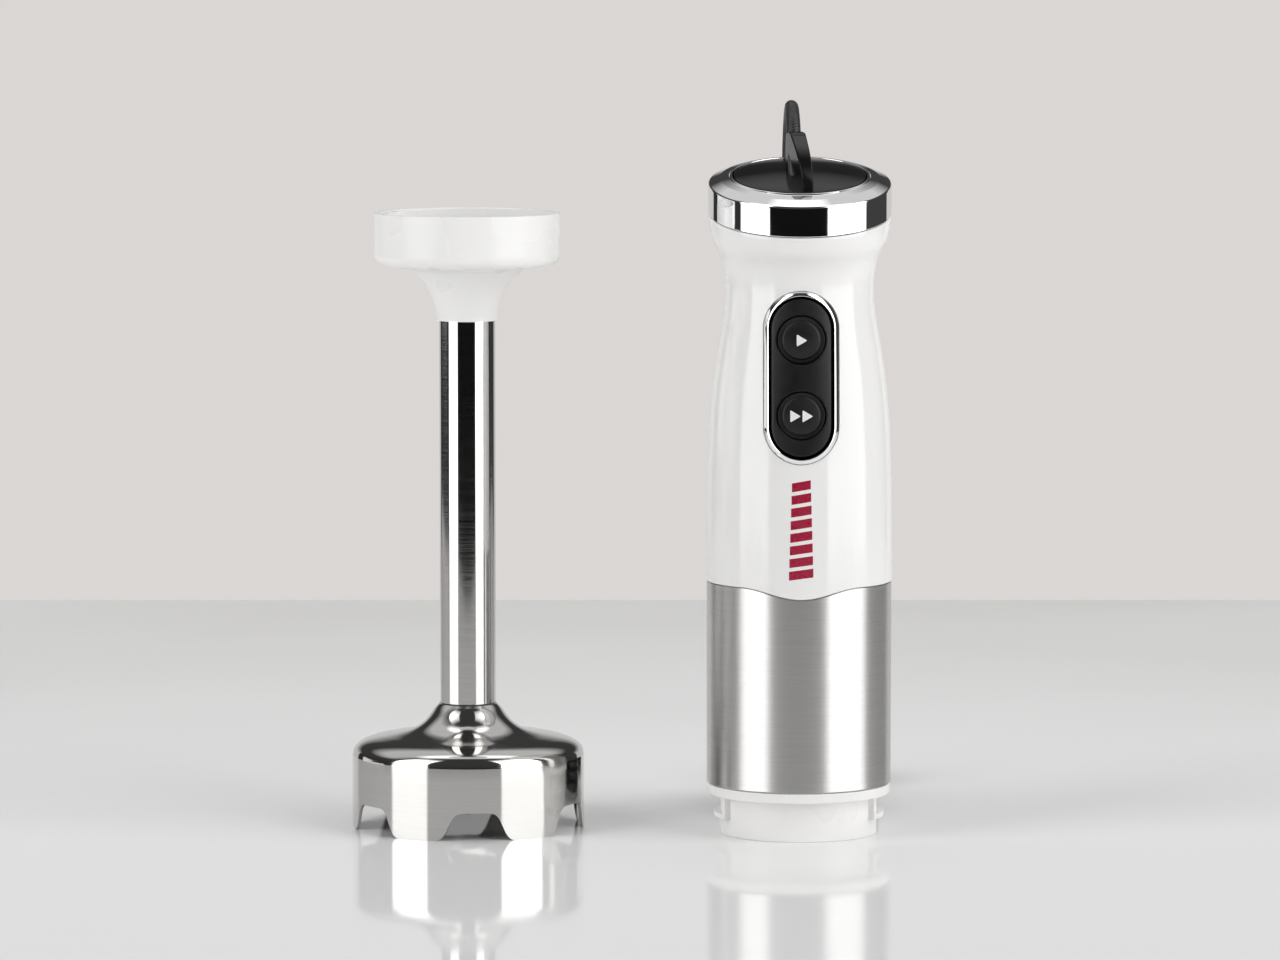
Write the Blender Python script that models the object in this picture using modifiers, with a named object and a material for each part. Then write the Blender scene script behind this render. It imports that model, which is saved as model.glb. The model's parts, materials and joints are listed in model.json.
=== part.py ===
"""Immersion blender: a motor unit standing on its bayonet collar beside its detached blending foot.

Shapes are drawn in millimetres, each in the frame of its own assembly (axis at x = y = 0, z = 0 on the
table), and the helpers turn them into metres. The motor unit's front faces -Y.
"""

import bmesh
import bpy
from math import cos, degrees, pi, radians, sin, tan
from mathutils import Matrix, Vector

MM = 0.001
GAP = 0.3  # clearance between neighbouring pieces

# --- driving dimensions, mm ---------------------------------------------------------------------
BELL_R = 36.0
BELL_WALL = 0.9
BODY_R = 28.4
HANDLE_R = 28.6
AXIS_SPACING = 102.3  # between the two upright assemblies
MOTOR_FORWARD = 14.0  # the motor unit stands this much nearer the front than the foot
BEZEL_PROUD = 0.9

MOTOR_X = (AXIS_SPACING + BELL_R - HANDLE_R) / 2
FOOT_X = MOTOR_X - AXIS_SPACING
FRONT_REACH = 29.1  # from the motor axis to the front of the bezel's lower end
FOOT_Y = (MOTOR_FORWARD + FRONT_REACH - BELL_R) / 2
MOTOR_Y = FOOT_Y - MOTOR_FORWARD

# motor unit
SPIGOT_R = 24.1
SPIGOT_WALL = 2.0
FLANGE_Z = 12.4
FLANGE_TOP = 15.5
SLEEVE_TOP = 78.0
SLEEVE_WALL = 0.8
SLEEVE_DIP = 3.2  # the sleeve's top edge dips by this at the front and the back
DIP_HALF = 18.5
HANDLE_TOP = 191.1  # on the axis; the top is cut at a slant
TOP_TILT = tan(radians(12.3))
RING_R = 28.1
RING_BOTTOM = 191.4
RING_TOP = 200.1
DOME_R = 20.7
DOME_Z = 202.8
DOME_RISE = 1.9
HANDLE_OUTLINE = [
    (28.1, HANDLE_TOP), (26.9, 184.0), (24.0, 177.5), (22.8, 170.0), (23.2, 161.0), (24.6, 153.0),
    (26.3, 142.5), (27.6, 130.0), (28.3, 114.0), (HANDLE_R, 92.0), (28.5, 74.5),
]

# control panel
BEZEL_WIDTH = 22.9
BEZEL_HEIGHT = 52.3
BEZEL_BAND = 1.5
PANEL_GAP = 0.8
PANEL_Z = 142.5
PANEL_BACK_Y = -16.5
BUTTON_SPACING = 22.8
BUTTON_R = 7.1
BUTTON_TRAVEL = 1.5
BUTTONS = {"on": PANEL_Z + BUTTON_SPACING / 2, "turbo": PANEL_Z - BUTTON_SPACING / 2}
BOARD_FRONT_Y = -8.6
SWITCH_FRONT_Y = -13.1

# drive line
SHAFT_R = 3.0
STATOR_R = 25.0
STATOR_Z = (37.0, 67.0)
BORE_R = 13.5
BOLT_Y = 21.7
BOLT_SIDES = {"front": -BOLT_Y, "rear": BOLT_Y}

# blending foot
TUBE_R = 8.65
TUBE_WALL = 0.8
BELL_TOP = 38.2
BELL_WALL_TOP = 20.5
SLOT_COUNT = 6
SLOT_TURN = 5.0  # the front slot is centred this many degrees right of the front
CONE_BOTTOM = 157.3
CONE_TOP = 173.3
CUP_R = 28.6
CUP_INNER_R = 26.7
CUP_FLOOR = 177.6
CUP_RIM = 190.6
CUP_CORNER = 2.8  # how far the cup's lower corner is rounded inwards
BLADE_R = 23.0
BLADE_Z = 8.0

# cord, stored as a coil close behind the motor unit
CORD_D = 4.0
COIL_LAYERS = 2
COIL_TURNS = 4  # in each layer
COIL_R = 20.0  # at the middle of its turns
COIL_BOTTOM = 0.9
COIL_HEIGHT = (COIL_TURNS + 1) * CORD_D
COIL_X = 1.5
COIL_Y = 53.5
PLUG_ENTRY = (11.0, 88.0, 14.83)  # where the cord goes into the plug
PLUG_TILT = 12.0  # the plug's front rests on the table and the cord holds its back end up
PLUG_WIDTH = 34.4
PLUG_THICKNESS = 13.8
PLUG_FRONT = 41.0  # from the cord's entry to the face that the pins stand on
PIN_SPACING = 18.8
PIN_LENGTH = 19.0
CORD_EXIT = Vector((-1.9, 1.5, 214.0))
CORD_RISE = radians(60)  # the cord leaves the guard this steeply
CORD_BEND_R = 18.0
BEND_END = 150.0  # degrees that the cord turns through in its first bend

COLORS = {  # colour, roughness, metallic
    "white_gloss_plastic": ((0.86, 0.855, 0.84), 0.18, 0.0),
    "white_satin_plastic": ((0.84, 0.835, 0.82), 0.42, 0.0),
    "black_gloss_plastic": ((0.012, 0.012, 0.013), 0.10, 0.0),
    "black_soft_rubber": ((0.02, 0.02, 0.021), 0.55, 0.0),
    "black_cord": ((0.015, 0.015, 0.016), 0.40, 0.0),
    "chrome_trim": ((0.90, 0.90, 0.91), 0.04, 1.0),
    "brushed_steel": ((0.62, 0.61, 0.60), 0.28, 1.0),
    "polished_steel": ((0.72, 0.71, 0.70), 0.10, 1.0),
    "shaft_steel": ((0.55, 0.55, 0.56), 0.30, 1.0),
    "lamination_steel": ((0.30, 0.31, 0.33), 0.50, 1.0),
    "copper_winding": ((0.72, 0.32, 0.16), 0.35, 1.0),
    "sintered_bronze": ((0.55, 0.36, 0.18), 0.45, 1.0),
    "brass_contact": ((0.78, 0.60, 0.28), 0.30, 1.0),
    "carbon": ((0.05, 0.05, 0.055), 0.70, 0.0),
    "board_laminate": ((0.05, 0.20, 0.09), 0.45, 0.0),
    "film_capacitor": ((0.75, 0.62, 0.12), 0.40, 0.0),
    "grey_moulding": ((0.22, 0.22, 0.23), 0.50, 0.0),
    "seal_rubber": ((0.06, 0.06, 0.06), 0.65, 0.0),
}


# --- helpers ------------------------------------------------------------------------------------
def clear_scene():
    for obj in list(bpy.data.objects):
        bpy.data.objects.remove(obj, do_unlink=True)


def make_collection(name, hidden=False):
    collection = bpy.data.collections.new(name)
    bpy.context.scene.collection.children.link(collection)
    collection.hide_render = hidden
    return collection


def material(slot):
    found = bpy.data.materials.get(slot)
    if found:
        return found
    color, roughness, metallic = COLORS[slot]
    made = bpy.data.materials.new(slot)
    made.use_nodes = True
    shader = made.node_tree.nodes["Principled BSDF"]
    shader.inputs["Base Color"].default_value = (*color, 1.0)
    shader.inputs["Roughness"].default_value = roughness
    shader.inputs["Metallic"].default_value = metallic
    made.diffuse_color = (*color, 1.0)
    return made


def place(obj, slot=None, parent=None, at=(0, 0, 0), turn=(0, 0, 0)):
    """Put an object in the part's collection, or with no slot among the cutters."""
    (PARTS if slot else CUTTERS).objects.link(obj)
    if slot:
        obj.data.materials.append(material(slot))
    else:
        obj.hide_render = True
        obj.display_type = "WIRE"
    obj.parent = parent
    obj.location = Vector(at) * MM
    obj.rotation_euler = [radians(a) for a in turn]
    return obj


def mesh_object(name, bm):
    mesh = bpy.data.meshes.new(name)
    bm.to_mesh(mesh)
    bm.free()
    return bpy.data.objects.new(name, mesh)


def profile_object(name, points, closed):
    bm = bmesh.new()
    verts = [bm.verts.new((r * MM, 0, z * MM)) for r, z in points]
    pairs = list(zip(verts, verts[1:]))
    if closed:
        pairs.append((verts[-1], verts[0]))
    for pair in pairs:
        bm.edges.new(pair)
    return mesh_object(name, bm)


def add_screw(obj, segments):
    screw = obj.modifiers.new("turn", "SCREW")
    screw.steps = segments
    screw.render_steps = segments
    screw.use_merge_vertices = True
    screw.merge_threshold = 0.00001
    screw.use_smooth_shade = True


def turned(name, points, slot=None, parent=None, segments=32, closed=True, at=(0, 0, 0), turn=(0, 0, 0)):
    """A turned solid. points run down the outer side and back up the inner side, as (radius, height)."""
    obj = profile_object(name, points, closed)
    place(obj, slot, parent, at, turn)
    add_screw(obj, segments)
    return obj


def tube_points(outer, inner, bottom, top):
    return [(outer, top), (outer, bottom), (inner, bottom), (inner, top)]


def rod_points(radius, bottom, top):
    return [(0, top), (radius, top), (radius, bottom), (0, bottom)]


def rod(name, radius, bottom, top, slot=None, parent=None, segments=20, at=(0, 0, 0), turn=(0, 0, 0)):
    return turned(name, rod_points(radius, bottom, top), slot, parent, segments, False, at, turn)


def box(name, low, high, slot=None, parent=None, bevel=0.0, turn=(0, 0, 0)):
    """A box between two corners, with its origin at its middle."""
    low, high = Vector(low), Vector(high)
    bm = bmesh.new()
    bmesh.ops.create_cube(bm, size=1.0, matrix=Matrix.Diagonal((*((high - low) * MM), 1.0)))
    obj = place(mesh_object(name, bm), slot, parent, (low + high) / 2, turn)
    if bevel:
        soften(obj, bevel)
    return obj


def soften(obj, width, segments=2):
    bevel = obj.modifiers.new("soften", "BEVEL")
    bevel.width = width * MM
    bevel.segments = segments
    bevel.limit_method = "ANGLE"


def plate(name, outline, thickness, slot=None, parent=None, at=(0, 0, 0), turn=(0, 0, 0)):
    """A flat outline of (x, y) points, thickened both ways from its own plane, as a mesh."""
    curve = bpy.data.curves.new(name, "CURVE")
    curve.dimensions = "2D"
    curve.fill_mode = "BOTH"
    curve.extrude = thickness * MM / 2
    spline = curve.splines.new("POLY")
    spline.points.add(len(outline) - 1)
    spline.use_cyclic_u = True
    for point, (x, y) in zip(spline.points, outline):
        point.co = (x * MM, y * MM, 0, 1)
    return place(as_mesh(bpy.data.objects.new(name, curve)), slot, parent, at, turn)


def as_mesh(obj):
    """Replace an unlinked curve object with a mesh object whose caps are welded."""
    bpy.context.scene.collection.objects.link(obj)
    bpy.context.view_layer.update()
    mesh = bpy.data.meshes.new_from_object(obj.evaluated_get(bpy.context.evaluated_depsgraph_get()))
    name = obj.name
    bpy.data.objects.remove(obj)
    bm = bmesh.new()
    bm.from_mesh(mesh)
    bmesh.ops.remove_doubles(bm, verts=bm.verts, dist=0.000001)
    bmesh.ops.recalc_face_normals(bm, faces=bm.faces)
    bm.to_mesh(mesh)
    bm.free()
    return bpy.data.objects.new(name, mesh)


def wire(name, points, diameter, slot, parent, resolution=2, radii=None):
    """A round cord or wire through (x, y, z) points, with filled ends."""
    curve = bpy.data.curves.new(name, "CURVE")
    curve.dimensions = "3D"
    curve.bevel_depth = diameter * MM / 2
    curve.bevel_resolution = resolution
    curve.use_fill_caps = True
    spline = curve.splines.new("POLY")
    spline.points.add(len(points) - 1)
    for i, (point, place_mm) in enumerate(zip(spline.points, points)):
        point.co = (*(Vector(place_mm) * MM), 1)
        point.radius = radii[i] if radii else 1.0
    obj = bpy.data.objects.new(name, curve)
    return place(obj, slot, parent)


def combine(obj, other, operation):
    """Add a Boolean modifier: other becomes a cutter."""
    boolean = obj.modifiers.new(operation.lower(), "BOOLEAN")
    boolean.operation = operation
    boolean.solver = "EXACT"
    boolean.object = other


def cut(obj, *others):
    for other in others:
        combine(obj, other, "DIFFERENCE")


def join(obj, *others):
    for other in others:
        combine(obj, other, "UNION")


def reshaped(obj, move):
    """Apply an object's modifiers and move each vertex by a function of its place in millimetres."""
    bpy.context.view_layer.update()
    mesh = bpy.data.meshes.new_from_object(obj.evaluated_get(bpy.context.evaluated_depsgraph_get()))
    obj.modifiers.clear()
    obj.data = mesh
    for vertex in mesh.vertices:
        vertex.co = Vector(move(vertex.co / MM)) * MM
    return obj


def smooth_line(points, steps):
    """Points along a smooth curve (Catmull-Rom) through the given ones, with steps to each span."""
    points = [Vector(p) for p in points]
    ends = [2 * points[0] - points[1]] + points + [2 * points[-1] - points[-2]]
    line = []
    for a, b, c, d in zip(ends, ends[1:], ends[2:], ends[3:]):
        for i in range(steps):
            t = i / steps
            line.append((2 * b + (c - a) * t + (2 * a - 5 * b + 4 * c - d) * t**2
                         + (3 * b - a - 3 * c + d) * t**3) / 2)
    return [tuple(p) for p in line] + [tuple(points[-1])]


def evenly(points, spacing):
    """The same line with points about spacing apart."""
    points = [Vector(p) for p in points]
    lengths = [0.0]
    for a, b in zip(points, points[1:]):
        lengths.append(lengths[-1] + (b - a).length)
    count = max(2, round(lengths[-1] / spacing))
    line = []
    span = 0
    for i in range(count + 1):
        target = lengths[-1] * i / count
        while span < len(points) - 2 and lengths[span + 1] < target:
            span += 1
        share = (target - lengths[span]) / (lengths[span + 1] - lengths[span])
        line.append(tuple(points[span].lerp(points[span + 1], min(share, 1.0))))
    return line


def arc(center, radius, start, end, steps):
    """Points on an arc in degrees, as (x, y)."""
    turns = [radians(start + (end - start) * i / steps) for i in range(steps + 1)]
    return [(center[0] + radius * cos(a), center[1] + radius * sin(a)) for a in turns]


def stadium(width, height, steps=8):
    """An upright slot outline with round ends, centred on the origin."""
    r = width / 2
    straight = height / 2 - r
    return arc((0, straight), r, 0, 180, steps) + arc((0, -straight), r, 180, 360, steps)


def around(azimuth, radius, z=0.0):
    """A point at an azimuth in degrees, measured from the front (-Y) towards the right (+X)."""
    a = radians(azimuth)
    return Vector((radius * sin(a), -radius * cos(a), z))


def sector(inner, outer, start, end, steps=8):
    """An outline between two radii and two azimuths."""
    return arc((0, 0), outer, start - 90, end - 90, steps) + arc((0, 0), inner, end - 90, start - 90, steps)


def lobed(radius, depth, count, steps):
    """A round outline with a wavy edge, as a spline coupling has."""
    turns = [2 * pi * i / steps for i in range(steps)]
    sizes = [radius - depth * (1 - cos(count * a)) / 2 for a in turns]
    return [(r * cos(a), r * sin(a)) for a, r in zip(turns, sizes)]


def empty(name, at, parent=None):
    obj = bpy.data.objects.new(name, None)
    PARTS.objects.link(obj)
    obj.parent = parent
    obj.location = Vector(at) * MM
    return obj


# --- motor unit: outside ------------------------------------------------------------------------
def handle_line(offset=0.0):
    return [(r + offset, z) for r, z in HANDLE_OUTLINE]


def handle_radius(z):
    line = handle_line()
    for (r0, z0), (r1, z1) in zip(line, line[1:]):
        if z1 <= z <= z0:
            return r0 + (r1 - r0) * (z0 - z) / (z0 - z1)
    return HANDLE_R


def slant_top(co):
    """Shear the handle's upper part, so that its top meets the slanted ring."""
    share = min(max((co.z - 168.0) / (HANDLE_TOP - 168.0), 0.0), 1.0)
    return co.x, co.y, co.z + share * co.y * TOP_TILT


def slant(co):
    return co.x, co.y, co.z + co.y * TOP_TILT


def edge_wave(name, drop, bottom):
    """A block from a bottom height up to the sleeve's wavy top edge, lowered by drop."""
    dip = [(x, SLEEVE_TOP - drop - SLEEVE_DIP * cos(pi * x / DIP_HALF / 2) ** 2)
           for x in [DIP_HALF * (i / 5 - 1) for i in range(11)]]
    level = SLEEVE_TOP - drop
    outline = [(-32, bottom), (-32, level), *dip, (32, level), (32, bottom)]
    return plate(name, outline, 80, parent=MOTOR, turn=(90, 0, 0))


def make_handle():
    inside = [(25.6, 112.0), (24.0, 137.0), (21.2, 155.0), (20.2, 168.0), (21.4, 178.0), (25.0, HANDLE_TOP)]
    step = [(27.3, 74.5), (27.3, 60.0), (25.6, 60.0)]
    handle = turned("handle_shell", handle_line() + step + inside, "white_gloss_plastic", MOTOR, 36)
    reshaped(handle, slant_top)
    edge = edge_wave("handle_edge_cutter", -GAP, 66.0)
    cut(edge, rod("handle_skirt_core", 27.45, 50, 90, parent=MOTOR, segments=36))
    cut(handle, edge)
    opening = plate("bezel_opening", stadium(BEZEL_WIDTH + 2 * GAP, BEZEL_HEIGHT + 2 * GAP), 24,
                    parent=MOTOR, at=(0, -26, PANEL_Z), turn=(90, 0, 0))
    cut(handle, opening)


def make_sleeve():
    sleeve = turned("body_sleeve", tube_points(BODY_R, BODY_R - SLEEVE_WALL, FLANGE_TOP + GAP, SLEEVE_TOP),
                    "brushed_steel", MOTOR, 36)
    combine(sleeve, edge_wave("sleeve_edge", 0.001, 10.0), "INTERSECT")


def make_top():
    ring = turned("top_ring", [(DOME_R, DOME_Z), (RING_R - 0.6, RING_TOP + 0.4), (RING_R, RING_TOP - 0.2),
                               (RING_R, RING_BOTTOM), (24.8, RING_BOTTOM), (24.8, 199.0), (DOME_R, 200.0)],
                  "chrome_trim", MOTOR, 36)
    reshaped(ring, slant)
    cap = turned("top_cap", dome_line(DOME_R - GAP, 0.0) + [(20.4, 198.2), (0, 198.2)],
                 "black_gloss_plastic", MOTOR, 32, False)
    reshaped(cap, slant)
    cut(cap, cord_bore("cap_bore"))


def dome_line(radius, lift):
    """The dome's crown, from its top on the axis out to its rim."""
    return [(radius * i / 4, DOME_Z + lift + DOME_RISE * (1 - (i / 4) ** 2)) for i in range(5)]


def cord_bore(name):
    """A straight bore along the cord's way out, through the guard and the cap."""
    lean = degrees(CORD_RISE) - 90
    return rod(name, CORD_D / 2 + 0.1, -40, 10, parent=MOTOR, segments=16, at=CORD_EXIT, turn=(lean, 0, 0))


def make_guard():
    """The fin that leads the cord out: an upright plate with a swept leading edge."""
    leading = smooth_line([(-19.8, 195.0), (-18.6, 202.0), (-13.0, 209.6), (-5.0, 215.9)], 4)
    outline = leading + [(-1.8, 216.2), (4.5, 212.0), (8.5, 206.0), (9.0, 199.0)]
    guard = plate("cord_guard", outline, 5.4, "black_gloss_plastic", MOTOR, (-1.7, 0, 0), (90, 0, 90 + 11.7))
    under_dome = dome_line(30.0, GAP) + [(30, 180), (0, 180)]
    seat = turned("guard_seat", under_dome, parent=MOTOR, segments=32, closed=False)
    reshaped(seat, slant)
    cut(guard, seat, cord_bore("guard_bore"))


def make_panel():
    """Chrome bezel, soft panel and the two buttons, all following the handle's curve."""
    reach = 2 * (HANDLE_R + PANEL_BACK_Y)
    middle = (0, PANEL_BACK_Y - reach / 2, PANEL_Z)
    bezel = plate("button_bezel", stadium(BEZEL_WIDTH, BEZEL_HEIGHT), reach, "chrome_trim", MOTOR, middle,
                  (90, 0, 0))
    inner = stadium(BEZEL_WIDTH - 2 * BEZEL_BAND, BEZEL_HEIGHT - 2 * BEZEL_BAND)
    cut(bezel, plate("bezel_window", inner, 60, parent=MOTOR, at=middle, turn=(90, 0, 0)))
    combine(bezel, skin("bezel_skin", BEZEL_PROUD), "INTERSECT")
    shrink = 2 * (BEZEL_BAND + PANEL_GAP)
    panel = plate("button_panel", stadium(BEZEL_WIDTH - shrink, BEZEL_HEIGHT - shrink), reach,
                  "black_soft_rubber", MOTOR, middle, (90, 0, 0))
    combine(panel, skin("panel_skin", 0.2), "INTERSECT")
    for name, z in BUTTONS.items():
        hole = rod(f"{name}_hole", BUTTON_R + GAP, 0, 40, parent=MOTOR, segments=24, at=(0, 0, z),
                   turn=(90, 0, 0))
        cut(panel, hole)


def skin(name, proud):
    """The handle's outer form, made larger by proud, as a solid to trim the panel pieces with."""
    line = [(r, z) for r, z in handle_line(proud) if 100 < z < 185]
    return turned(name, [(0, line[0][1]), *line, (0, line[-1][1])], parent=MOTOR, segments=32, closed=False)


def make_button(name, z):
    """A domed button with a groove round it, and the stem that works the switch behind it."""
    face_y = -(handle_radius(z) - 0.5)
    stem_end = -face_y + SWITCH_FRONT_Y - BUTTON_TRAVEL - GAP
    profile = [(0, 1.4), (3.5, 1.1), (5.9, 0.4), (6.2, -0.2), (BUTTON_R, -0.2), (BUTTON_R, -3.0),
               (2.5, -3.0), (2.5, -stem_end), (0, -stem_end)]
    turned(f"button_{name}", profile, "black_soft_rubber", MOTOR, 20, False, (0, face_y, z), (90, 0, 0))
    make_return_spring(name, z, face_y)


def make_return_spring(name, z, face_y):
    """A coil spring of three turns between a button's back and the control board."""
    diameter, coil_r, turns, points_a_turn = 0.7, 4.9, 3, 8
    start = face_y + 3.0 + GAP + diameter / 2
    length = BOARD_FRONT_Y - GAP - diameter / 2 - start
    steps = points_a_turn * turns
    angles = [2 * pi * i / points_a_turn for i in range(steps + 1)]
    points = [(coil_r * cos(a), start + length * i / steps, z + coil_r * sin(a))
              for i, a in enumerate(angles)]
    wire(f"return_spring_{name}", points, diameter, "shaft_steel", MOTOR, 1)


def make_collar():
    """The white bayonet collar: spigot, flange, web over the coupling, and a skirt inside the sleeve."""
    bore = SPIGOT_R - SPIGOT_WALL
    profile = [(27.2, 21.2), (27.2, FLANGE_TOP), (28.0, FLANGE_TOP), (28.0, FLANGE_Z), (SPIGOT_R, FLANGE_Z),
               (SPIGOT_R, 0), (bore, 0), (bore, 12.6), (8.2, 12.6), (8.2, 15.2), (25.2, 15.2), (25.2, 21.2)]
    collar = turned("bayonet_collar", profile, "white_satin_plastic", MOTOR, 36)
    for side, start in (("right", 61.5), ("left", -118.5)):
        rail_outline = sector(SPIGOT_R - 0.8, 26.2, start, start + 57)
        stop_outline = sector(SPIGOT_R - 0.7, 26.0, start + 0.4, start + 4, 2)
        join(collar, plate(f"rail_{side}", rail_outline, 1.6, parent=MOTOR, at=(0, 0, 6.2)),
             plate(f"stop_{side}", stop_outline, 7.6, parent=MOTOR, at=(0, 0, 9.6)))


# --- motor unit: inside -------------------------------------------------------------------------
def make_brackets():
    """The two end brackets that hold the motor's bearings."""
    lower = turned("lower_bracket", [(25.0, 24.0), (26.9, 24.0), (26.9, 21.5), (11.5, 21.5), (11.5, 15.6),
                                     (4.0, 15.6), (4.0, 16.9), (9.6, 16.9), (9.6, 24.0)],
                   "grey_moulding", MOTOR, 28)
    upper = turned("upper_bracket", [(10.0, 95.0), (10.0, 86.0), (25.2, 86.0), (25.2, 83.0), (4.2, 83.0),
                                     (4.2, 87.7), (8.2, 87.7), (8.2, 95.0)], "grey_moulding", MOTOR, 28)
    for side, y in BOLT_SIDES.items():
        cut(lower, bolt_hole(f"lower_hole_{side}", 10, 30, y))
        cut(upper, bolt_hole(f"upper_hole_{side}", 80, 90, y))


def bolt_hole(name, bottom, top, y):
    """A cutter for a motor bolt, turned a little so that its edges miss the facets of the round parts."""
    return rod(name, 2.0, bottom, top, parent=MOTOR, segments=12, at=(0, y, 0), turn=(0, 0, 10))


def make_bearings():
    turned("bearing_lower", tube_points(9.3, SHAFT_R + GAP, 17.2, 23.2), "shaft_steel", MOTOR, 20)
    turned("bearing_upper", tube_points(7.9, SHAFT_R + GAP, 88.0, 94.0), "shaft_steel", MOTOR, 20)


def make_stator():
    """A two-pole laminated stack with a slot each side of both poles."""
    low, high = STATOR_Z
    core = turned("stator_core", tube_points(STATOR_R, BORE_R, low, high), "lamination_steel", MOTOR, 36)
    for side, y in BOLT_SIDES.items():
        cut(core, bolt_hole(f"core_hole_{side}", low - 1, high + 1, y))
        for x in (-1, 1):
            near, far = sorted((6.0 * y / BOLT_Y, 18.1 * y / BOLT_Y))
            slot = box(f"core_slot_{side}", (10.95 * x - 1.65, near, low - 1),
                       (10.95 * x + 1.65, far, high + 1), parent=MOTOR)
            cut(core, slot)


def make_field_coils():
    """A copper winding round the neck of each pole."""
    low, high = STATOR_Z
    for side, y in BOLT_SIDES.items():
        near, far = sorted((14.8 * y / BOLT_Y, 17.8 * y / BOLT_Y))
        coil = box(f"field_coil_{side}", (-12.3, near, low - 3.5), (12.3, far, high + 3.5), "copper_winding",
                   MOTOR, 0.8)
        cut(coil, box(f"pole_{side}", (-9.6, near - 2, low - GAP), (9.6, far + 2, high + GAP), parent=MOTOR))


def make_motor_bolts():
    for side, y in BOLT_SIDES.items():
        profile = [(0, 88.6), (3.0, 88.6), (3.0, 86.3), (1.6, 86.3), (1.6, 18.0), (0, 18.0)]
        turned(f"motor_bolt_{side}", profile, "shaft_steel", MOTOR, 12, False, (0, y, 0))


def make_rotor():
    """Everything on the motor shaft."""
    rod("motor_shaft", SHAFT_R, 12.2, 96.0, "shaft_steel", ROTOR, 16)
    bore = SHAFT_R + GAP
    core = turned("armature_core", tube_points(13.0, bore, 38.0, 66.0), "lamination_steel", ROTOR, 27)
    for i in range(9):
        turn = 40 * i
        core_slot = box(f"armature_slot_{i}", (-0.8, 10.2, 37), (0.8, 14.0, 67), parent=ROTOR)
        core_slot.location = Matrix.Rotation(radians(turn), 3, "Z") @ core_slot.location
        core_slot.rotation_euler.z = radians(turn)
        cut(core, core_slot)
    for end, low, high in (("lower", 33.0, 37.7), ("upper", 66.3, 72.0)):
        profile = [(9.0, high), (11.6, high - 1.4), (11.6, low + 1.4), (9.0, low), (bore, low), (bore, high)]
        turned(f"armature_winding_{end}", profile, "copper_winding", ROTOR, 20)
    turned("commutator", tube_points(8.2, bore, 73.5, 82.0), "brass_contact", ROTOR, 24)
    make_fan(bore)
    make_drive_coupling(bore)


def make_fan(bore):
    """A radial fan: a disc on a hub, with straight vanes standing on it."""
    disc = [(5.5, 32.6), (5.5, 27.4), (18.5, 27.4), (18.5, 26.0), (bore, 26.0), (bore, 32.6)]
    fan = turned("cooling_fan", disc, "grey_moulding", ROTOR, 24)
    for i in range(8):
        turn = 45 * i
        vane = box(f"vane_{i}", (-0.6, 5.2, 27.0), (0.6, 18.0, 32.0), parent=ROTOR)
        vane.location = Matrix.Rotation(radians(turn), 3, "Z") @ vane.location
        vane.rotation_euler.z = radians(turn)
        join(fan, vane)


def make_drive_coupling(bore):
    """The socket on the motor shaft's lower end that drives the foot's splined pin."""
    coupling = rod("drive_coupling", 7.2, 3.0, 15.1, "grey_moulding", ROTOR)
    socket = plate("socket_star", lobed(5.4, 1.0, 6, 30), 10.0, parent=ROTOR, at=(0, 0, 6.0))
    cut(coupling, socket, rod("coupling_bore", bore, 11.8, 20.0, parent=ROTOR, segments=16))
    return coupling


def make_brushes():
    """A carbon brush in a box guide each side of the commutator."""
    for side, x in (("left", -1), ("right", 1)):
        low, high = sorted((9.8 * x, 24.0 * x))
        guide = box(f"brush_holder_{side}", (low, -4.0, 74.0), (high, 4.0, 82.0), "brass_contact", MOTOR)
        cut(guide, box(f"guide_bore_{side}", (low - 2, -2.8, 75.2), (high + 2, 2.8, 80.8), parent=MOTOR))
        low, high = sorted((8.5 * x, 18.0 * x))
        box(f"carbon_brush_{side}", (low, -2.5, 75.5), (high, 2.5, 80.5), "carbon", MOTOR, 0.4)


def make_electronics():
    """The control board behind the buttons, with a switch for each and the suppression capacitor."""
    box("control_board", (-12, BOARD_FRONT_Y, 104), (12, BOARD_FRONT_Y + 1.6, 172), "board_laminate", MOTOR)
    for name, z in BUTTONS.items():
        box(f"switch_{name}", (-3, SWITCH_FRONT_Y, z - 3), (3, BOARD_FRONT_Y - GAP, z + 3), "grey_moulding",
            MOTOR, 0.4)
    rear = BOARD_FRONT_Y + 1.6 + GAP
    box("noise_capacitor", (-9, rear, 112), (9, rear + 8.5, 127), "film_capacitor", MOTOR, 0.8)


def make_cord_clamp():
    """The block that grips the cord inside the handle, and its two screws."""
    clamp = box("cord_clamp", (-9, -15.5, 175.5), (9, -6.5, 181.5), "grey_moulding", MOTOR)
    cut(clamp, rod("clamp_bore", 1.8 + GAP, 170, 190, parent=MOTOR, segments=16, at=(0, -11, 0)))
    for side, x in (("left", -6), ("right", 6)):
        hole = rod(f"clamp_hole_{side}", 1.5, -20, 0, parent=MOTOR, segments=12, at=(x, -20, 178.5),
                   turn=(90, 0, 0))
        cut(clamp, hole)
        profile = [(0, 1.8), (2.4, 1.2), (2.4, GAP), (1.2, GAP), (1.2, -8.0), (0, -8.0)]
        turned(f"clamp_screw_{side}", profile, "shaft_steel", MOTOR, 12, False, (x, -15.5, 178.5), (90, 0, 0))
    down = Vector((0, -cos(CORD_RISE), -sin(CORD_RISE)))
    start = CORD_EXIT + down * GAP
    route = [start, CORD_EXIT + down * 12, CORD_EXIT + down * 20, Vector((-0.4, -10.4, 190)),
             Vector((0, -11, 182)), Vector((0, -11, 173))]
    wire("inner_cord", evenly(smooth_line(route, 6), 4.5), 3.6, "black_cord", MOTOR)


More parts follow.
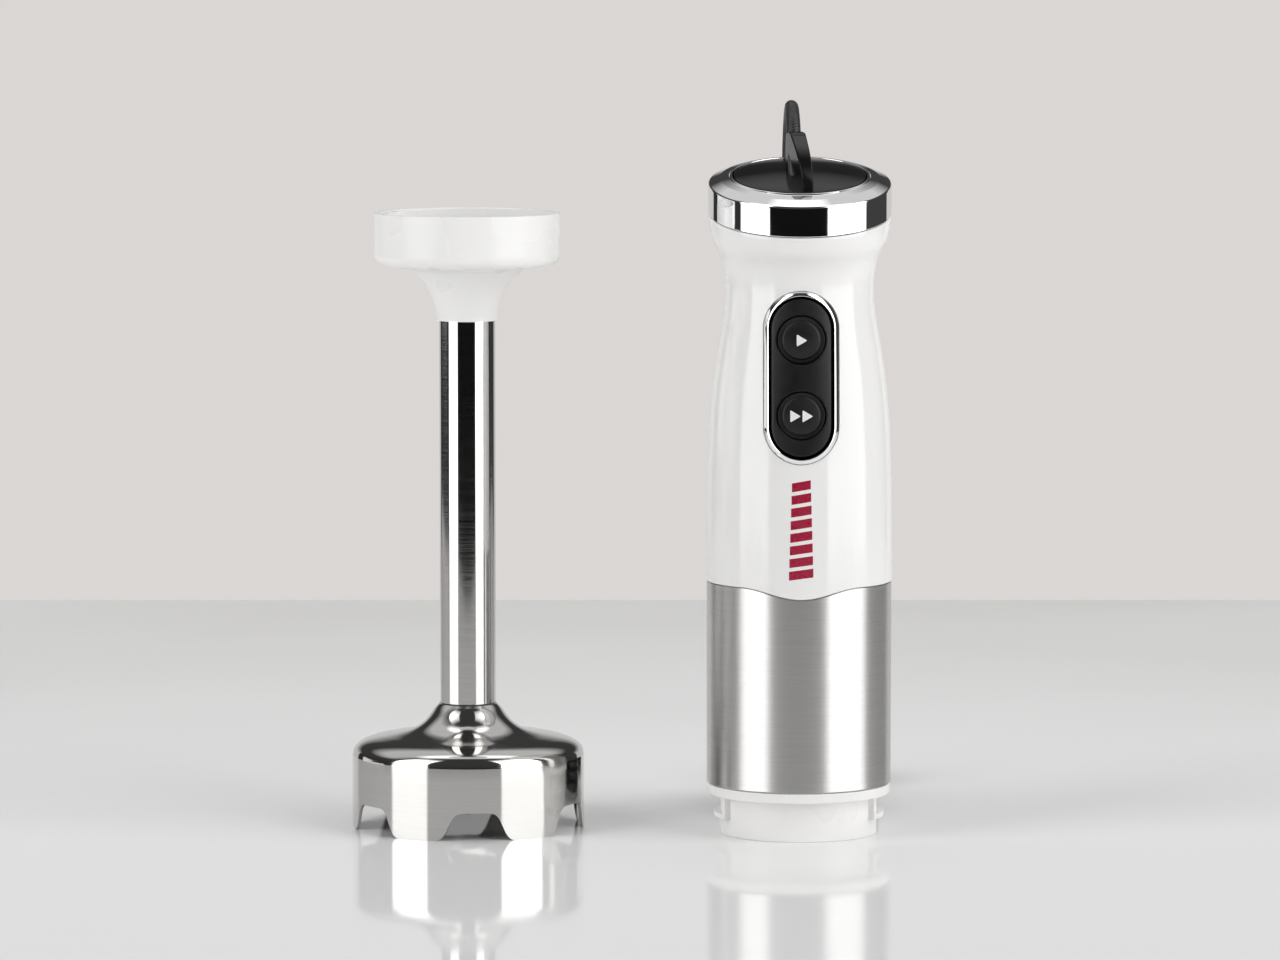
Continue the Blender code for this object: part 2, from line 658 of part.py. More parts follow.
# --- blending foot ------------------------------------------------------------------------------
def make_coupling_collar():
    """The white cup and cone that joins the foot to the motor unit."""
    cone_r = 19.1
    cone = arc((9.4 + cone_r, CONE_BOTTOM), cone_r, 123, 180, 5)
    turns = [radians(30 * i) for i in range(4)]
    corner = [(CUP_R - CUP_CORNER * (1 - cos(a)), 178.2 - 3.7 * sin(a)) for a in turns]
    inner = [(8.95, CONE_BOTTOM), (8.95, 168.3), (6.5, 168.3), (6.5, CUP_FLOOR), (CUP_INNER_R, CUP_FLOOR),
             (CUP_INNER_R, CUP_RIM)]
    profile = [(CUP_R, CUP_RIM)] + corner + cone + inner
    collar = turned("coupling_collar", profile, "white_satin_plastic", FOOT, 36)
    for side, start in (("rear", -144), ("front", 36)):
        lug_outline = sector(24.5, CUP_INNER_R + 0.6, start, start + 50, 6)
        join(collar, plate(f"lug_{side}", lug_outline, 4.6, parent=FOOT, at=(0, 0, 188.0)))


def make_bell():
    """The steel bell: a sheet shell with a flared neck and six scalloped slots round its edge."""
    neck = smooth_line([(9.0, BELL_TOP), (12.5, 33.8), (17.5, 30.1), (27.0, 27.8)], 2)
    shoulder = [(31.5, 26.5), (34.2, 25.1), (35.6, 23.0), (BELL_R, BELL_WALL_TOP), (BELL_R, 0)]
    bell = turned("bell_guard", neck + shoulder, "polished_steel", FOOT, 36, False)
    shell = bell.modifiers.new("wall", "SOLIDIFY")
    shell.thickness = BELL_WALL * MM
    shell.offset = -1
    half = [(12.2, -1.0), (11.0, 0.4), (9.4, 2.2), (8.2, 4.8), (7.2, 6.8), (6.0, 8.1), (4.4, 8.6)]
    outline = half + [(-x, z) for x, z in reversed(half)]
    for i in range(SLOT_COUNT):
        azimuth = SLOT_TURN + 360 / SLOT_COUNT * i
        at = around(azimuth, BELL_R)
        cut(bell, plate(f"bell_slot_{i}", outline, 12, parent=FOOT, at=at, turn=(90, 0, azimuth)))


def make_foot_inside():
    """Tube, bushings, the holder in the bell's neck and its seal."""
    wall = tube_points(TUBE_R, TUBE_R - TUBE_WALL, BELL_TOP + GAP, 168.0)
    turned("foot_tube", wall, "polished_steel", FOOT, 28)
    bore = SHAFT_R + GAP
    turned("bushing_upper", tube_points(7.5, bore, 152.0, 167.0), "sintered_bronze", FOOT, 20)
    holder = [(7.5, 52.0), (7.5, 32.4), (11.0, 32.0), (11.0, 22.0), (4.2, 22.0), (4.2, 23.2), (5.6, 23.2),
              (5.6, 52.0)]
    turned("bearing_holder", holder, "grey_moulding", FOOT, 20)
    turned("bushing_lower", tube_points(5.3, bore, 27.3, 51.0), "sintered_bronze", FOOT, 20)
    turned("shaft_seal", tube_points(5.3, bore, 23.5, 27.0), "seal_rubber", FOOT, 20)


def make_foot_rotor():
    """The long shaft, its splined pin, the blade and the blade's nut."""
    step_z = BLADE_Z + 1.3
    shaft = [(0, 175.7), (SHAFT_R, 175.7), (SHAFT_R, step_z), (2.0, step_z), (2.0, 3.4), (0, 3.4)]
    turned("drive_shaft", shaft, "shaft_steel", BLADE_SHAFT, 16, False)
    bore = SHAFT_R + GAP
    base = [(0, 178.2), (6.0, 178.2), (6.0, 169.2), (bore, 169.2), (bore, 176.2), (0, 176.2)]
    pin = turned("driven_coupling", base, "grey_moulding", BLADE_SHAFT, 24, False)
    join(pin, plate("spline_pin", lobed(5.0, 1.0, 6, 30), 11.0, parent=BLADE_SHAFT, at=(0, 0, 182.9)))
    make_blade()
    turned("blade_nut", tube_points(4.2, 2.3, 3.8, BLADE_Z - 0.8 - GAP), "shaft_steel", BLADE_SHAFT, 6)


def make_blade():
    """A two-wing blade: one wing's tip bends up and the other's bends down, and both are pitched."""
    bm = bmesh.new()
    bmesh.ops.create_grid(bm, x_segments=12, y_segments=2, size=1.0)
    for vert in bm.verts:
        along, across = vert.co.x, vert.co.y
        bend = max(abs(along) - 0.35, 0.0)
        width = 5.2 - 1.6 * abs(along) ** 2
        lift = (7.0 if along > 0 else -5.0) * bend**1.5 + 2.2 * across * along
        vert.co = (BLADE_R * along * MM, (width * across - 2.5 * along * bend) * MM, lift * MM)
    blade = place(mesh_object("blade", bm), "polished_steel", BLADE_SHAFT, (0, 0, BLADE_Z), (0, 0, -35))
    thick = blade.modifiers.new("thickness", "SOLIDIFY")
    thick.thickness = 1.4 * MM
    thick.offset = 0
    cut(blade, rod("blade_hole", 2.3, 0, 20, parent=BLADE_SHAFT, segments=16))


# --- cord ---------------------------------------------------------------------------------------
def cord_arc(start, end, steps):
    """Points where the cord arches over behind the guard, from start to end of its turn in degrees."""
    center = CORD_EXIT + Vector((0, sin(CORD_RISE), -cos(CORD_RISE))) * CORD_BEND_R
    line = []
    for i in range(steps + 1):
        turned_by = start + (end - start) * i / steps
        a = radians(90 - turned_by) + CORD_RISE
        sideways = -0.9 * turned_by / BEND_END
        line.append(center + Vector((sideways, CORD_BEND_R * cos(a), CORD_BEND_R * sin(a))))
    return line


def make_cord():
    boot_turn, boot_steps = 66.0, 8
    thick, thin = 1.22, 1.06  # the boot's size at its two ends, over the cord's own
    taper = [thick + (thin - thick) * i / boot_steps for i in range(boot_steps + 1)]
    wire("cord_boot", cord_arc(1.6, boot_turn, boot_steps), CORD_D, "black_cord", MOTOR, 3, taper)
    coil_top = COIL_BOTTOM + COIL_HEIGHT
    rest_z = coil_top + GAP + CORD_D / 2
    near_y = COIL_Y - COIL_R + CORD_D / 2
    left = COIL_X - CORD_BEND_R
    route = cord_arc(boot_turn + 3.0, BEND_END, 4) + [
        Vector((-3.8, 35.2, 185)), Vector((-6.8, 34.6, 150)), Vector((-10.6, 34.6, 110)),
        Vector((-14.4, 36.0, 75)),
        Vector((left, 36.4, rest_z + 28)), Vector((left + 2.4, near_y + 0.3, rest_z + 9)),
        Vector((left + 9.0, near_y, rest_z + 2.4)), Vector((COIL_X, near_y, rest_z)),
        Vector((COIL_X + 8.0, near_y + 1.7, rest_z)), Vector((COIL_X + 14.1, near_y + 5.9, rest_z)),
    ]
    wire("cord_lead", evenly(smooth_line(route, 8), 8.0), CORD_D, "black_cord", MOTOR)
    half = COIL_LAYERS * CORD_D / 2
    winding = tube_points(COIL_R + half, COIL_R - half, COIL_BOTTOM, coil_top)
    turned("cord_coil", winding, "black_cord", MOTOR, 32, at=(COIL_X, COIL_Y, 0))
    make_tie(half)
    make_tail_and_plug()


def make_tie(half):
    """A strap round the coil on its far side."""
    inner, outer = COIL_R - half - 0.5, COIL_R + half + GAP
    top = COIL_BOTTOM + COIL_HEIGHT + GAP
    strap = 0.6
    tie = box("cord_tie", (-2.5, inner - strap, 0), (2.5, outer + strap, top + strap), "black_soft_rubber",
              MOTOR)
    window = box("tie_window", (-6, inner, strap), (6, outer, top), parent=MOTOR)
    for piece in (tie, window):
        piece.location += Vector((COIL_X, COIL_Y, 0)) * MM
    cut(tie, window)


def make_tail_and_plug():
    """The short free end that slopes down from the coil's top to the two-pin plug."""
    x, y, z = PLUG_ENTRY
    slope = tan(radians(PLUG_TILT))
    route = [(x + 0.3, y - 9.6, z + 2.3), (x, y - 6.3, z + 6.3 * slope), (x, y - 3.0, z + 3.0 * slope),
             (x, y - 0.8, z + 0.8 * slope)]
    wire("cord_tail", evenly(smooth_line(route, 4), 3.0), CORD_D, "black_cord", MOTOR)
    half = PLUG_THICKNESS / 2
    body = box("plug_body", (-PLUG_WIDTH / 2, 11, -half), (PLUG_WIDTH / 2, PLUG_FRONT, half),
               "black_soft_rubber", PLUG, 3.2)
    relief = turned("plug_relief", [(0, 12.5), (5.4, 12.5), (4.6, 6), (2.7, 0), (0, 0)], parent=PLUG,
                    segments=16, closed=False, turn=(-90, 0, 0))
    join(body, relief)
    pin = [(0, PIN_LENGTH), (1.4, PIN_LENGTH), (2.0, PIN_LENGTH - 1), (2.0, GAP), (0, GAP)]
    for side, offset in (("left", -PIN_SPACING / 2), ("right", PIN_SPACING / 2)):
        turned(f"plug_pin_{side}", pin, "brass_contact", PLUG, 14, False, (offset, PLUG_FRONT, 0),
               (-90, 0, 0))


# --- build --------------------------------------------------------------------------------------
clear_scene()
PARTS = make_collection("immersion_blender")
CUTTERS = make_collection("cutters", hidden=True)
MOTOR = empty("motor_unit_axis", (MOTOR_X, MOTOR_Y, 0))
ROTOR = empty("rotor_axis", (0, 0, 0), MOTOR)
PLUG = empty("plug_axis", PLUG_ENTRY, MOTOR)
PLUG.rotation_euler.x = radians(-PLUG_TILT)
FOOT = empty("foot_axis", (FOOT_X, FOOT_Y, 0))
BLADE_SHAFT = empty("blade_shaft_axis", (0, 0, 0), FOOT)

make_handle()
make_sleeve()
make_top()
make_guard()
make_panel()
for button_name, button_z in BUTTONS.items():
    make_button(button_name, button_z)
make_collar()
make_brackets()
make_bearings()
make_stator()
make_field_coils()
make_motor_bolts()
make_rotor()
make_brushes()
make_electronics()
make_cord_clamp()
make_coupling_collar()
make_bell()
make_foot_inside()
make_foot_rotor()
make_cord()
bpy.context.view_layer.update()
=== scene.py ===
"""Looks of the immersion blender: a motor unit standing beside its detached blending foot.

Shapes are in millimetres in the frame of their own assembly, as in the CAD: the assembly's axis is at
x = y = 0, the table at z = 0, and the front faces -Y. Azimuths turn from the front towards +X.
"""

import json
from math import cos, hypot, pi, radians, sin, sqrt, tan

import bmesh
import bpy
from mathutils import Matrix, Vector


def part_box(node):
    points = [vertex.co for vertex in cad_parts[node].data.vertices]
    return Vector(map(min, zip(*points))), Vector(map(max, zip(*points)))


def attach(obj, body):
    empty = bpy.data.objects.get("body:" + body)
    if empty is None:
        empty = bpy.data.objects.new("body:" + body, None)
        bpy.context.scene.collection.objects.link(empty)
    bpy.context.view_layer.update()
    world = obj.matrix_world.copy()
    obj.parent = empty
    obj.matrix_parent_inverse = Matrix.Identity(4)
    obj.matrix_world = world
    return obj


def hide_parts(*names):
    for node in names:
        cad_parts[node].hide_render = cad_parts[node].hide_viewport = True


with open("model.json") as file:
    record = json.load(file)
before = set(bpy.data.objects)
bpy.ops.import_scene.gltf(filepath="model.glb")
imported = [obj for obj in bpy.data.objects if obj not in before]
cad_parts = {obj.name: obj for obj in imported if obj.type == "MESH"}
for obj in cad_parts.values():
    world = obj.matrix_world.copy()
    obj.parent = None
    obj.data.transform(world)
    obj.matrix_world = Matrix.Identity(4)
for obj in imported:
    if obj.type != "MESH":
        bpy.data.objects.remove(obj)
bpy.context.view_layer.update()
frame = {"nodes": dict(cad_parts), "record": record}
MM = 0.001
GAP = 0.3


def axis_of(node):
    """Where a turned node's axis meets the table, in millimetres."""
    low, high = (Vector(corner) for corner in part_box(node))
    middle = (low + high) / 2 / MM
    return Vector((middle.x, middle.y, 0))


MOTOR = axis_of("motor_shaft")
FOOT = axis_of("drive_shaft")

# --- driving dimensions, mm ---------------------------------------------------------------------
# The CAD's, except DOME_R (20.7 there) and BELL_WALL_TOP (20.5 there).
BODY_R = 28.4
SLEEVE_BOTTOM = 15.8
SLEEVE_TOP = 78.0
SLEEVE_WALL = 0.8
SLEEVE_DIP = 3.2
DIP_HALF = 18.5
TOP_TILT = tan(radians(12.3))
SLANT_FROM = 168.0  # the handle's top slants more and more above this height
WAVE_FROM = 100.0  # its lower end follows the sleeve's wavy edge below this height
HANDLE_TOP = 191.1
HANDLE_OUTLINE = [
    (28.1, HANDLE_TOP), (26.9, 184.0), (24.0, 177.5), (22.8, 170.0), (23.2, 161.0), (24.6, 153.0),
    (26.3, 142.5), (27.6, 130.0), (28.3, 114.0), (28.6, 92.0), (28.5, 74.5),
]
DOME_R = 20.4
DOME_Z = 202.8
DOME_RISE = 1.9
GUARD_TURN = 11.7  # degrees that the fin is turned about the upright
GUARD_THICK = 5.4
BEZEL_WIDTH = 22.9
BEZEL_HEIGHT = 52.3
BEZEL_BAND = 1.5  # the band's own width
PANEL_MARGIN = 2.3
PANEL_PROUD = 0.2
PANEL_Z = 142.5
BUTTONS = {"on": 153.9, "turbo": 131.1}
BUTTON_R = 7.1
BUTTON_SEAT = 0.5
MARK_SIZE = 3.8
MARK_PROUD = 0.03
SPIGOT_R = 24.1
FLANGE_Z = 12.4
TUBE_R = 8.65
TUBE_WALL = 0.8
TUBE_TOP = 168.0
BELL_TOP = 38.2
BELL_R = 36.0
BELL_WALL = 0.9
BELL_WALL_TOP = 22.2  # where the upright wall begins under the shoulder
SCALLOP_TOP = 10.5  # the wall's last level ring, above all the slots
SLOT_COUNT = 6
SLOT_TURN = 5.0  # the front slot is centred this many degrees right of the front
CUP_R = 28.6
CUP_INNER_R = 26.7
CUP_FLOOR = 177.6
CUP_RIM = 190.6
CONE_BOTTOM = 157.3

CORD_D = 4.0
CORD_EXIT = Vector((-1.9, 1.5, 214.0))
CORD_RISE = 60.0  # degrees
CORD_BEND_R = 18.0
CORD_BEND_END = 150.0  # degrees that the cord turns through in its first bend
BOOT_FROM, BOOT_TO = 1.6, 66.0  # degrees of that bend which the strain relief covers
COIL_CENTER = Vector((1.5, 53.5, 0.0))
COIL_INNER_R = 18.0
COIL_TURNS = 4  # in each layer
COIL_LOW = 2.9
COIL_HIGH = 18.9
COIL_ENTRY = 23.2  # height at which the lead comes to lie on the coil


# --- points and profiles ------------------------------------------------------------------------
def smooth_line(points, steps):
    """Points along a smooth curve (Catmull-Rom) through the given ones, with steps to each span."""
    points = [Vector(p) for p in points]
    ends = [2 * points[0] - points[1]] + points + [2 * points[-1] - points[-2]]
    line = []
    for a, b, c, d in zip(ends, ends[1:], ends[2:], ends[3:]):
        for i in range(steps):
            t = i / steps
            line.append((2 * b + (c - a) * t + (2 * a - 5 * b + 4 * c - d) * t**2
                         + (3 * b - a - 3 * c + d) * t**3) / 2)
    return line + [points[-1]]


def interpolate(line, x):
    """The second value of a line of pairs at a first value, held level beyond its ends."""
    for (x0, y0), (x1, y1) in zip(line, line[1:]):
        if x <= x1:
            return y0 + (y1 - y0) * max(0.0, (x - x0) / (x1 - x0))
    return line[-1][1]


def rounded(points, radius, closed=True, steps=4):
    """The same outline with its corners rounded, by a radius or by one for each point."""
    radii = radius if isinstance(radius, list) else [radius] * len(points)
    corners = [Vector(p) for p in points]
    line = []
    for i, (corner, r) in enumerate(zip(corners, radii)):
        if r == 0 or not closed and i in (0, len(corners) - 1):
            line.append(corner)
            continue
        before = corners[i - 1] - corner
        after = corners[(i + 1) % len(corners)] - corner
        half = before.angle(after) / 2
        reach = min(r / tan(half), before.length * 0.45, after.length * 0.45)
        start, end = corner + before.normalized() * reach, corner + after.normalized() * reach
        for k in range(steps + 1):
            t = k / steps
            line.append(start.lerp(corner, t).lerp(corner.lerp(end, t), t))
    return line


def arc(center, radius, start, end, steps):
    turns = [radians(start + (end - start) * i / steps) for i in range(steps + 1)]
    return [Vector((center[0] + radius * cos(a), center[1] + radius * sin(a))) for a in turns]


def stadium(width, height, steps=32):
    """An upright slot outline with round ends, centred on the origin."""
    r = width / 2
    straight = height / 2 - r
    down = [Vector((-r, straight * (1 - i / 8))) for i in range(1, 16)]
    up = [-p for p in down]
    return arc((0, straight), r, 0, 180, steps) + down + arc((0, -straight), r, 180, 360, steps) + up


def around(azimuth, radius, z=0.0):
    a = radians(azimuth)
    return Vector((radius * sin(a), -radius * cos(a), z))


HANDLE_LINE = [(p.y, p.x) for p in reversed(smooth_line(HANDLE_OUTLINE, 8))]


def handle_radius(z):
    return interpolate(HANDLE_LINE, z)


def on_handle(x, z, proud):
    """The handle's front surface at x and z, stood off by proud."""
    r = handle_radius(z) + proud
    return Vector((x, -sqrt(r * r - x * x), z))


def slanted(p):
    return Vector((p.x, p.y, p.z + p.y * TOP_TILT))


def sleeve_edge(x):
    """Height of the sleeve's wavy top edge, which dips at the front and the back."""
    return SLEEVE_TOP - SLEEVE_DIP * cos(pi * min(abs(x) / DIP_HALF, 1.0) / 2) ** 2


# --- meshes -------------------------------------------------------------------------------------
def new_object(name, bm, axis):
    """An object from a bmesh in an assembly's millimetres."""
    bmesh.ops.recalc_face_normals(bm, faces=bm.faces)
    bm.transform(Matrix.Scale(MM, 4) @ Matrix.Translation(axis))
    mesh = bpy.data.meshes.new(name)
    bm.to_mesh(mesh)
    bm.free()
    obj = bpy.data.objects.new(name, mesh)
    bpy.context.scene.collection.objects.link(obj)
    return obj


def shade(obj, angle=35):
    """Smooth shading with sharp edges kept, weighted so that flat faces stay flat."""
    obj.data.shade_smooth()
    obj.data.set_sharp_from_angle(angle=radians(angle))
    even = obj.modifiers.new("even_shading", "WEIGHTED_NORMAL")
    even.keep_sharp = True


def apply_modifiers(obj):
    mesh = bpy.data.meshes.new_from_object(obj.evaluated_get(bpy.context.evaluated_depsgraph_get()))
    obj.modifiers.clear()
    obj.data = mesh


def dress(obj, body, slot, *nodes):
    """Give a piece its finish, the body it rides on, and the CAD nodes that it stands for."""
    obj.data.materials.clear()
    obj.data.materials.append(LOOKS[slot])
    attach(obj, body)
    if nodes:
        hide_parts(*nodes)
    return obj


def lofted(name, rings, axis, closed=False, capped=True):
    """A skin over rings of points. closed joins the last ring to the first, as round a tube's wall."""
    bm = bmesh.new()
    rows = [[bm.verts.new(p) for p in ring] for ring in rings]
    pairs = list(zip(rows, rows[1:]))
    if closed:
        pairs.append((rows[-1], rows[0]))
    for lower, upper in pairs:
        for i in range(len(lower)):
            j = (i + 1) % len(lower)
            bm.faces.new((lower[i], lower[j], upper[j], upper[i]))
    if capped and not closed:
        bm.faces.new(rows[0][::-1])
        bm.faces.new(rows[-1])
    return new_object(name, bm, axis)


def turned_rings(profile, count, move=None):
    rings = [[around(360 * i / count, r, z) for i in range(count)] for r, z in profile]
    return [[move(p) for p in ring] for ring in rings] if move else rings


def turned(name, profile, axis, count=160, closed=True, move=None):
    """A turned piece from a profile of (radius, height), with each point moved by a function."""
    obj = lofted(name, turned_rings(profile, count, move), axis, closed)
    shade(obj)
    return obj


def plate_mesh(loops, low, high, bevel):
    """A flat plate with holes: its first loop is the outline. Its top edges are rounded."""
    bm = bmesh.new()
    for loop in loops:
        verts = [bm.verts.new((p[0], p[1], low)) for p in loop]
        for a, b in zip(verts, verts[1:] + verts[:1]):
            bm.edges.new((a, b))
    bmesh.ops.triangle_fill(bm, use_beauty=True, edges=bm.edges, normal=(0, 0, 1))
    top = bmesh.ops.extrude_face_region(bm, geom=list(bm.faces))
    raised = [v for v in top["geom"] if isinstance(v, bmesh.types.BMVert)]
    bmesh.ops.translate(bm, verts=raised, vec=(0, 0, high - low))
    bmesh.ops.recalc_face_normals(bm, faces=bm.faces)
    if bevel:
        rim = [e for e in bm.edges
               if all(v.co.z > high - 1e-6 for v in e.verts) and e.calc_face_angle(0) > 1.0]
        bmesh.ops.bevel(bm, geom=rim, offset=bevel, segments=3, profile=0.5, affect="EDGES")
    return bm


def sliced(bm, spacing):
    """Cut a mesh by upright planes, so that it bends smoothly when it is wrapped."""
    for k in (0, 1):
        low = min(v.co[k] for v in bm.verts)
        high = max(v.co[k] for v in bm.verts)
        count = int((high - low) / spacing)
        normal = Vector((1, 0, 0)) if k == 0 else Vector((0, 1, 0))
        for i in range(1, count + 1):
            at = low + (high - low) * i / (count + 1)
            geom = list(bm.verts) + list(bm.edges) + list(bm.faces)
            bmesh.ops.bisect_plane(bm, geom=geom, plane_co=normal * at, plane_no=normal, dist=1e-5)


def wrapped(name, loops, low, high, surface, axis, bevel=0.0, spacing=1.0):
    """A plate bent onto a surface: surface(x, z, height) gives each point."""
    bm = plate_mesh(loops, low, high, bevel)
    sliced(bm, spacing)
    for vert in bm.verts:
        vert.co = surface(vert.co.x, vert.co.y, vert.co.z)
    obj = new_object(name, bm, axis)
    shade(obj)
    return obj


def swept(name, stations, axis):
    """A solid through rings placed along a path: each station is (center, normal, side, radius)."""
    rings = []
    for center, across, side, radius in stations:
        rings.append([center + (across * cos(2 * pi * i / 24) + side * sin(2 * pi * i / 24)) * radius
                      for i in range(24)])
    obj = lofted(name, rings, axis)
    shade(obj, 60)
    return obj


# --- materials ----------------------------------------------------------------------------------
SLOTS = {entry["slot"]: tuple(entry["base_color"]) for entry in frame["record"]["materials"]}
LOOKS = {}


class Look:
    """A procedural material under construction: a Principled shader and the nodes that feed it."""

    def __init__(self, name, roughness, metallic=0.0, color=None, **constants):
        self.color = color or SLOTS[name]
        self.material = bpy.data.materials.new(f"look_{name}")
        self.material.use_nodes = True
        self.nodes = self.material.node_tree.nodes
        self.join = self.material.node_tree.links.new
        self.shader = self.nodes["Principled BSDF"]
        self.place = self.nodes.new("ShaderNodeTexCoord").outputs["Object"]
        self.shader.inputs["Base Color"].default_value = (*self.color, 1)
        self.shader.inputs["Roughness"].default_value = roughness
        self.shader.inputs["Metallic"].default_value = metallic
        for socket, value in constants.items():
            self.shader.inputs[socket.replace("_", " ")].default_value = value
        self.normal = None
        LOOKS[name] = self.material

    def noise(self, scale, detail=4.0, stretch=(1, 1, 1)):
        """A noise pattern. scale is in features per metre, and stretch makes it finer along an axis."""
        mapping = self.nodes.new("ShaderNodeMapping")
        mapping.inputs["Scale"].default_value = stretch
        self.join(self.place, mapping.inputs["Vector"])
        texture = self.nodes.new("ShaderNodeTexNoise")
        texture.inputs["Scale"].default_value = scale
        texture.inputs["Detail"].default_value = detail
        self.join(mapping.outputs["Vector"], texture.inputs["Vector"])
        return texture.outputs["Fac"]

    def along(self, axis):
        """The place along one axis, in metres."""
        split = self.nodes.new("ShaderNodeSeparateXYZ")
        self.join(self.place, split.inputs["Vector"])
        return split.outputs[axis]

    def ramp(self, pattern, low, high, start=0.35, end=0.65):
        """Map a pattern's middle range to a range of values."""
        spread = self.nodes.new("ShaderNodeMapRange")
        for socket, value in (("From Min", start), ("From Max", end), ("To Min", low), ("To Max", high)):
            spread.inputs[socket].default_value = value
        self.join(pattern, spread.inputs["Value"])
        return spread.outputs["Result"]

    def rough(self, pattern, low, high):
        self.join(self.ramp(pattern, low, high), self.shader.inputs["Roughness"])
        return self

    def tint(self, pattern, color, share=1.0, start=0.35, end=0.65):
        """Mix another colour in where a pattern is high."""
        mix = self.nodes.new("ShaderNodeMix")
        mix.data_type = "RGBA"
        source = self.shader.inputs["Base Color"]
        if source.is_linked:
            self.join(source.links[0].from_socket, mix.inputs["A"])
        else:
            mix.inputs["A"].default_value = (*self.color, 1)
        mix.inputs["B"].default_value = (*color, 1)
        self.join(self.ramp(pattern, 0.0, share, start, end), mix.inputs["Factor"])
        self.join(mix.outputs["Result"], source)
        return self

    def bump(self, pattern, height):
        """Raise the surface by a pattern, in millimetres."""
        node = self.nodes.new("ShaderNodeBump")
        node.inputs["Strength"].default_value = 1.0
        node.inputs["Distance"].default_value = height * MM
        self.join(pattern, node.inputs["Height"])
        if self.normal:
            self.join(self.normal, node.inputs["Normal"])
        self.normal = node.outputs["Normal"]
        self.join(self.normal, self.shader.inputs["Normal"])
        return self


def plastic_looks():
    white = Look("white_gloss_plastic", 0.12, color=(0.87, 0.864, 0.85), IOR=1.5, Coat_Weight=0.25,
                 Coat_Roughness=0.06)
    white.rough(white.noise(45), 0.10, 0.17)
    white.tint(white.noise(18, 2), (0.85, 0.842, 0.825), 0.4)
    white.bump(white.noise(900, 1), 0.0008)

    satin = Look("white_satin_plastic", 0.3, color=(0.91, 0.904, 0.893), IOR=1.48)
    satin.rough(satin.noise(60, 1), 0.26, 0.31)
    satin.tint(satin.noise(25, 1), (0.92, 0.914, 0.90), 0.3)
    satin.bump(satin.noise(2600, 2), 0.0015)

    gloss = Look("black_gloss_plastic", 0.08, color=(0.006, 0.006, 0.006), IOR=1.4, Specular_IOR_Level=0.3)
    gloss.rough(gloss.noise(120), 0.06, 0.14)
    gloss.tint(gloss.noise(5, 2), (0.009, 0.0085, 0.008), 0.8)
    gloss.bump(gloss.noise(700, 2), 0.003)

    rubber = Look("black_soft_rubber", 0.45, color=(0.006, 0.006, 0.0065), IOR=1.4)
    rubber.rough(rubber.noise(150), 0.36, 0.48)
    rubber.tint(rubber.noise(70, 5), (0.010, 0.010, 0.0105), 0.8)
    rubber.bump(rubber.noise(5200, 3), 0.012)

    cord = Look("black_cord", 0.4, IOR=1.47)
    cord.rough(cord.noise(200), 0.30, 0.46)
    cord.tint(cord.noise(90), (0.03, 0.03, 0.032), 0.7)
    cord.bump(cord.noise(3000, 3), 0.010)

    grey = Look("grey_moulding", 0.5)
    grey.rough(grey.noise(120), 0.42, 0.58)
    grey.tint(grey.noise(50), (0.17, 0.17, 0.18), 0.6)
    grey.bump(grey.noise(2800, 3), 0.012)

    seal = Look("seal_rubber", 0.65)
    seal.rough(seal.noise(200), 0.55, 0.75)
    seal.bump(seal.noise(3500, 3), 0.015)


def metal_look(name, low, high, lines, height, anisotropy=0.0, color=None, stain=0.6):
    """Metal with fine lines round its upright axis, which the brushing or turning leaves."""
    metal = Look(name, low, 1.0, color, Anisotropic=anisotropy, Anisotropic_Rotation=0.25)
    streaks = metal.noise(1, 5, (60, 60, lines))
    metal.rough(streaks, low, high)
    metal.tint(streaks, tuple(0.82 * c for c in metal.color), stain)
    metal.bump(streaks, height)
    metal.bump(metal.noise(140, 2), height * 0.4)


def metal_looks():
    metal_look("brushed_steel", 0.34, 0.42, 6500, 0.0009, 0.9, (0.70, 0.692, 0.68), 0.45)
    metal_look("polished_steel", 0.06, 0.11, 3400, 0.00015, 0.5, (0.66, 0.65, 0.635), 0.2)
    metal_look("shaft_steel", 0.22, 0.34, 4200, 0.002, 0.4)
    metal_look("lamination_steel", 0.42, 0.6, 2000, 0.03)
    metal_look("copper_winding", 0.3, 0.42, 2500, 0.04)
    metal_look("brass_contact", 0.24, 0.36, 3000, 0.002)
    chrome = Look("chrome_trim", 0.03, 1.0)
    chrome.rough(chrome.noise(90, 5), 0.02, 0.055)
    chrome.bump(chrome.noise(60, 1), 0.002)
    bronze = Look("sintered_bronze", 0.45, 1.0)
    bronze.rough(bronze.noise(900), 0.35, 0.6)
    bronze.tint(bronze.noise(5000, 2), (0.25, 0.15, 0.08), 0.9, 0.55, 0.65)
    bronze.bump(bronze.noise(5000, 2), 0.01)


def other_looks():
    carbon = Look("carbon", 0.7)
    carbon.rough(carbon.noise(800), 0.55, 0.8)
    carbon.bump(carbon.noise(4000), 0.02)
    board = Look("board_laminate", 0.45)
    board.tint(board.noise(900, 2), (0.03, 0.13, 0.06), 0.7)
    board.bump(board.noise(1, 2, (1500, 1500, 1500)), 0.01)
    film = Look("film_capacitor", 0.4)
    film.rough(film.noise(100), 0.3, 0.5)
    film.bump(film.noise(500), 0.01)
    red = Look("crimson_print", 0.3, color=(0.36, 0.012, 0.045))
    red.rough(red.noise(300), 0.24, 0.36)
    red.tint(red.noise(2500, 2), (0.30, 0.008, 0.035), 0.7)
    white = Look("white_print", 0.45, color=(0.82, 0.82, 0.82))
    white.rough(white.noise(300), 0.4, 0.5)
    white.tint(white.noise(3000, 2), (0.70, 0.70, 0.70), 0.6)


def dress_cad_nodes():
    """Give every CAD node the better look of its own material slot."""
    for node in frame["nodes"].values():
        slot = node.data.materials[0].name.split(".")[0]
        node.data.materials[0] = LOOKS[slot]


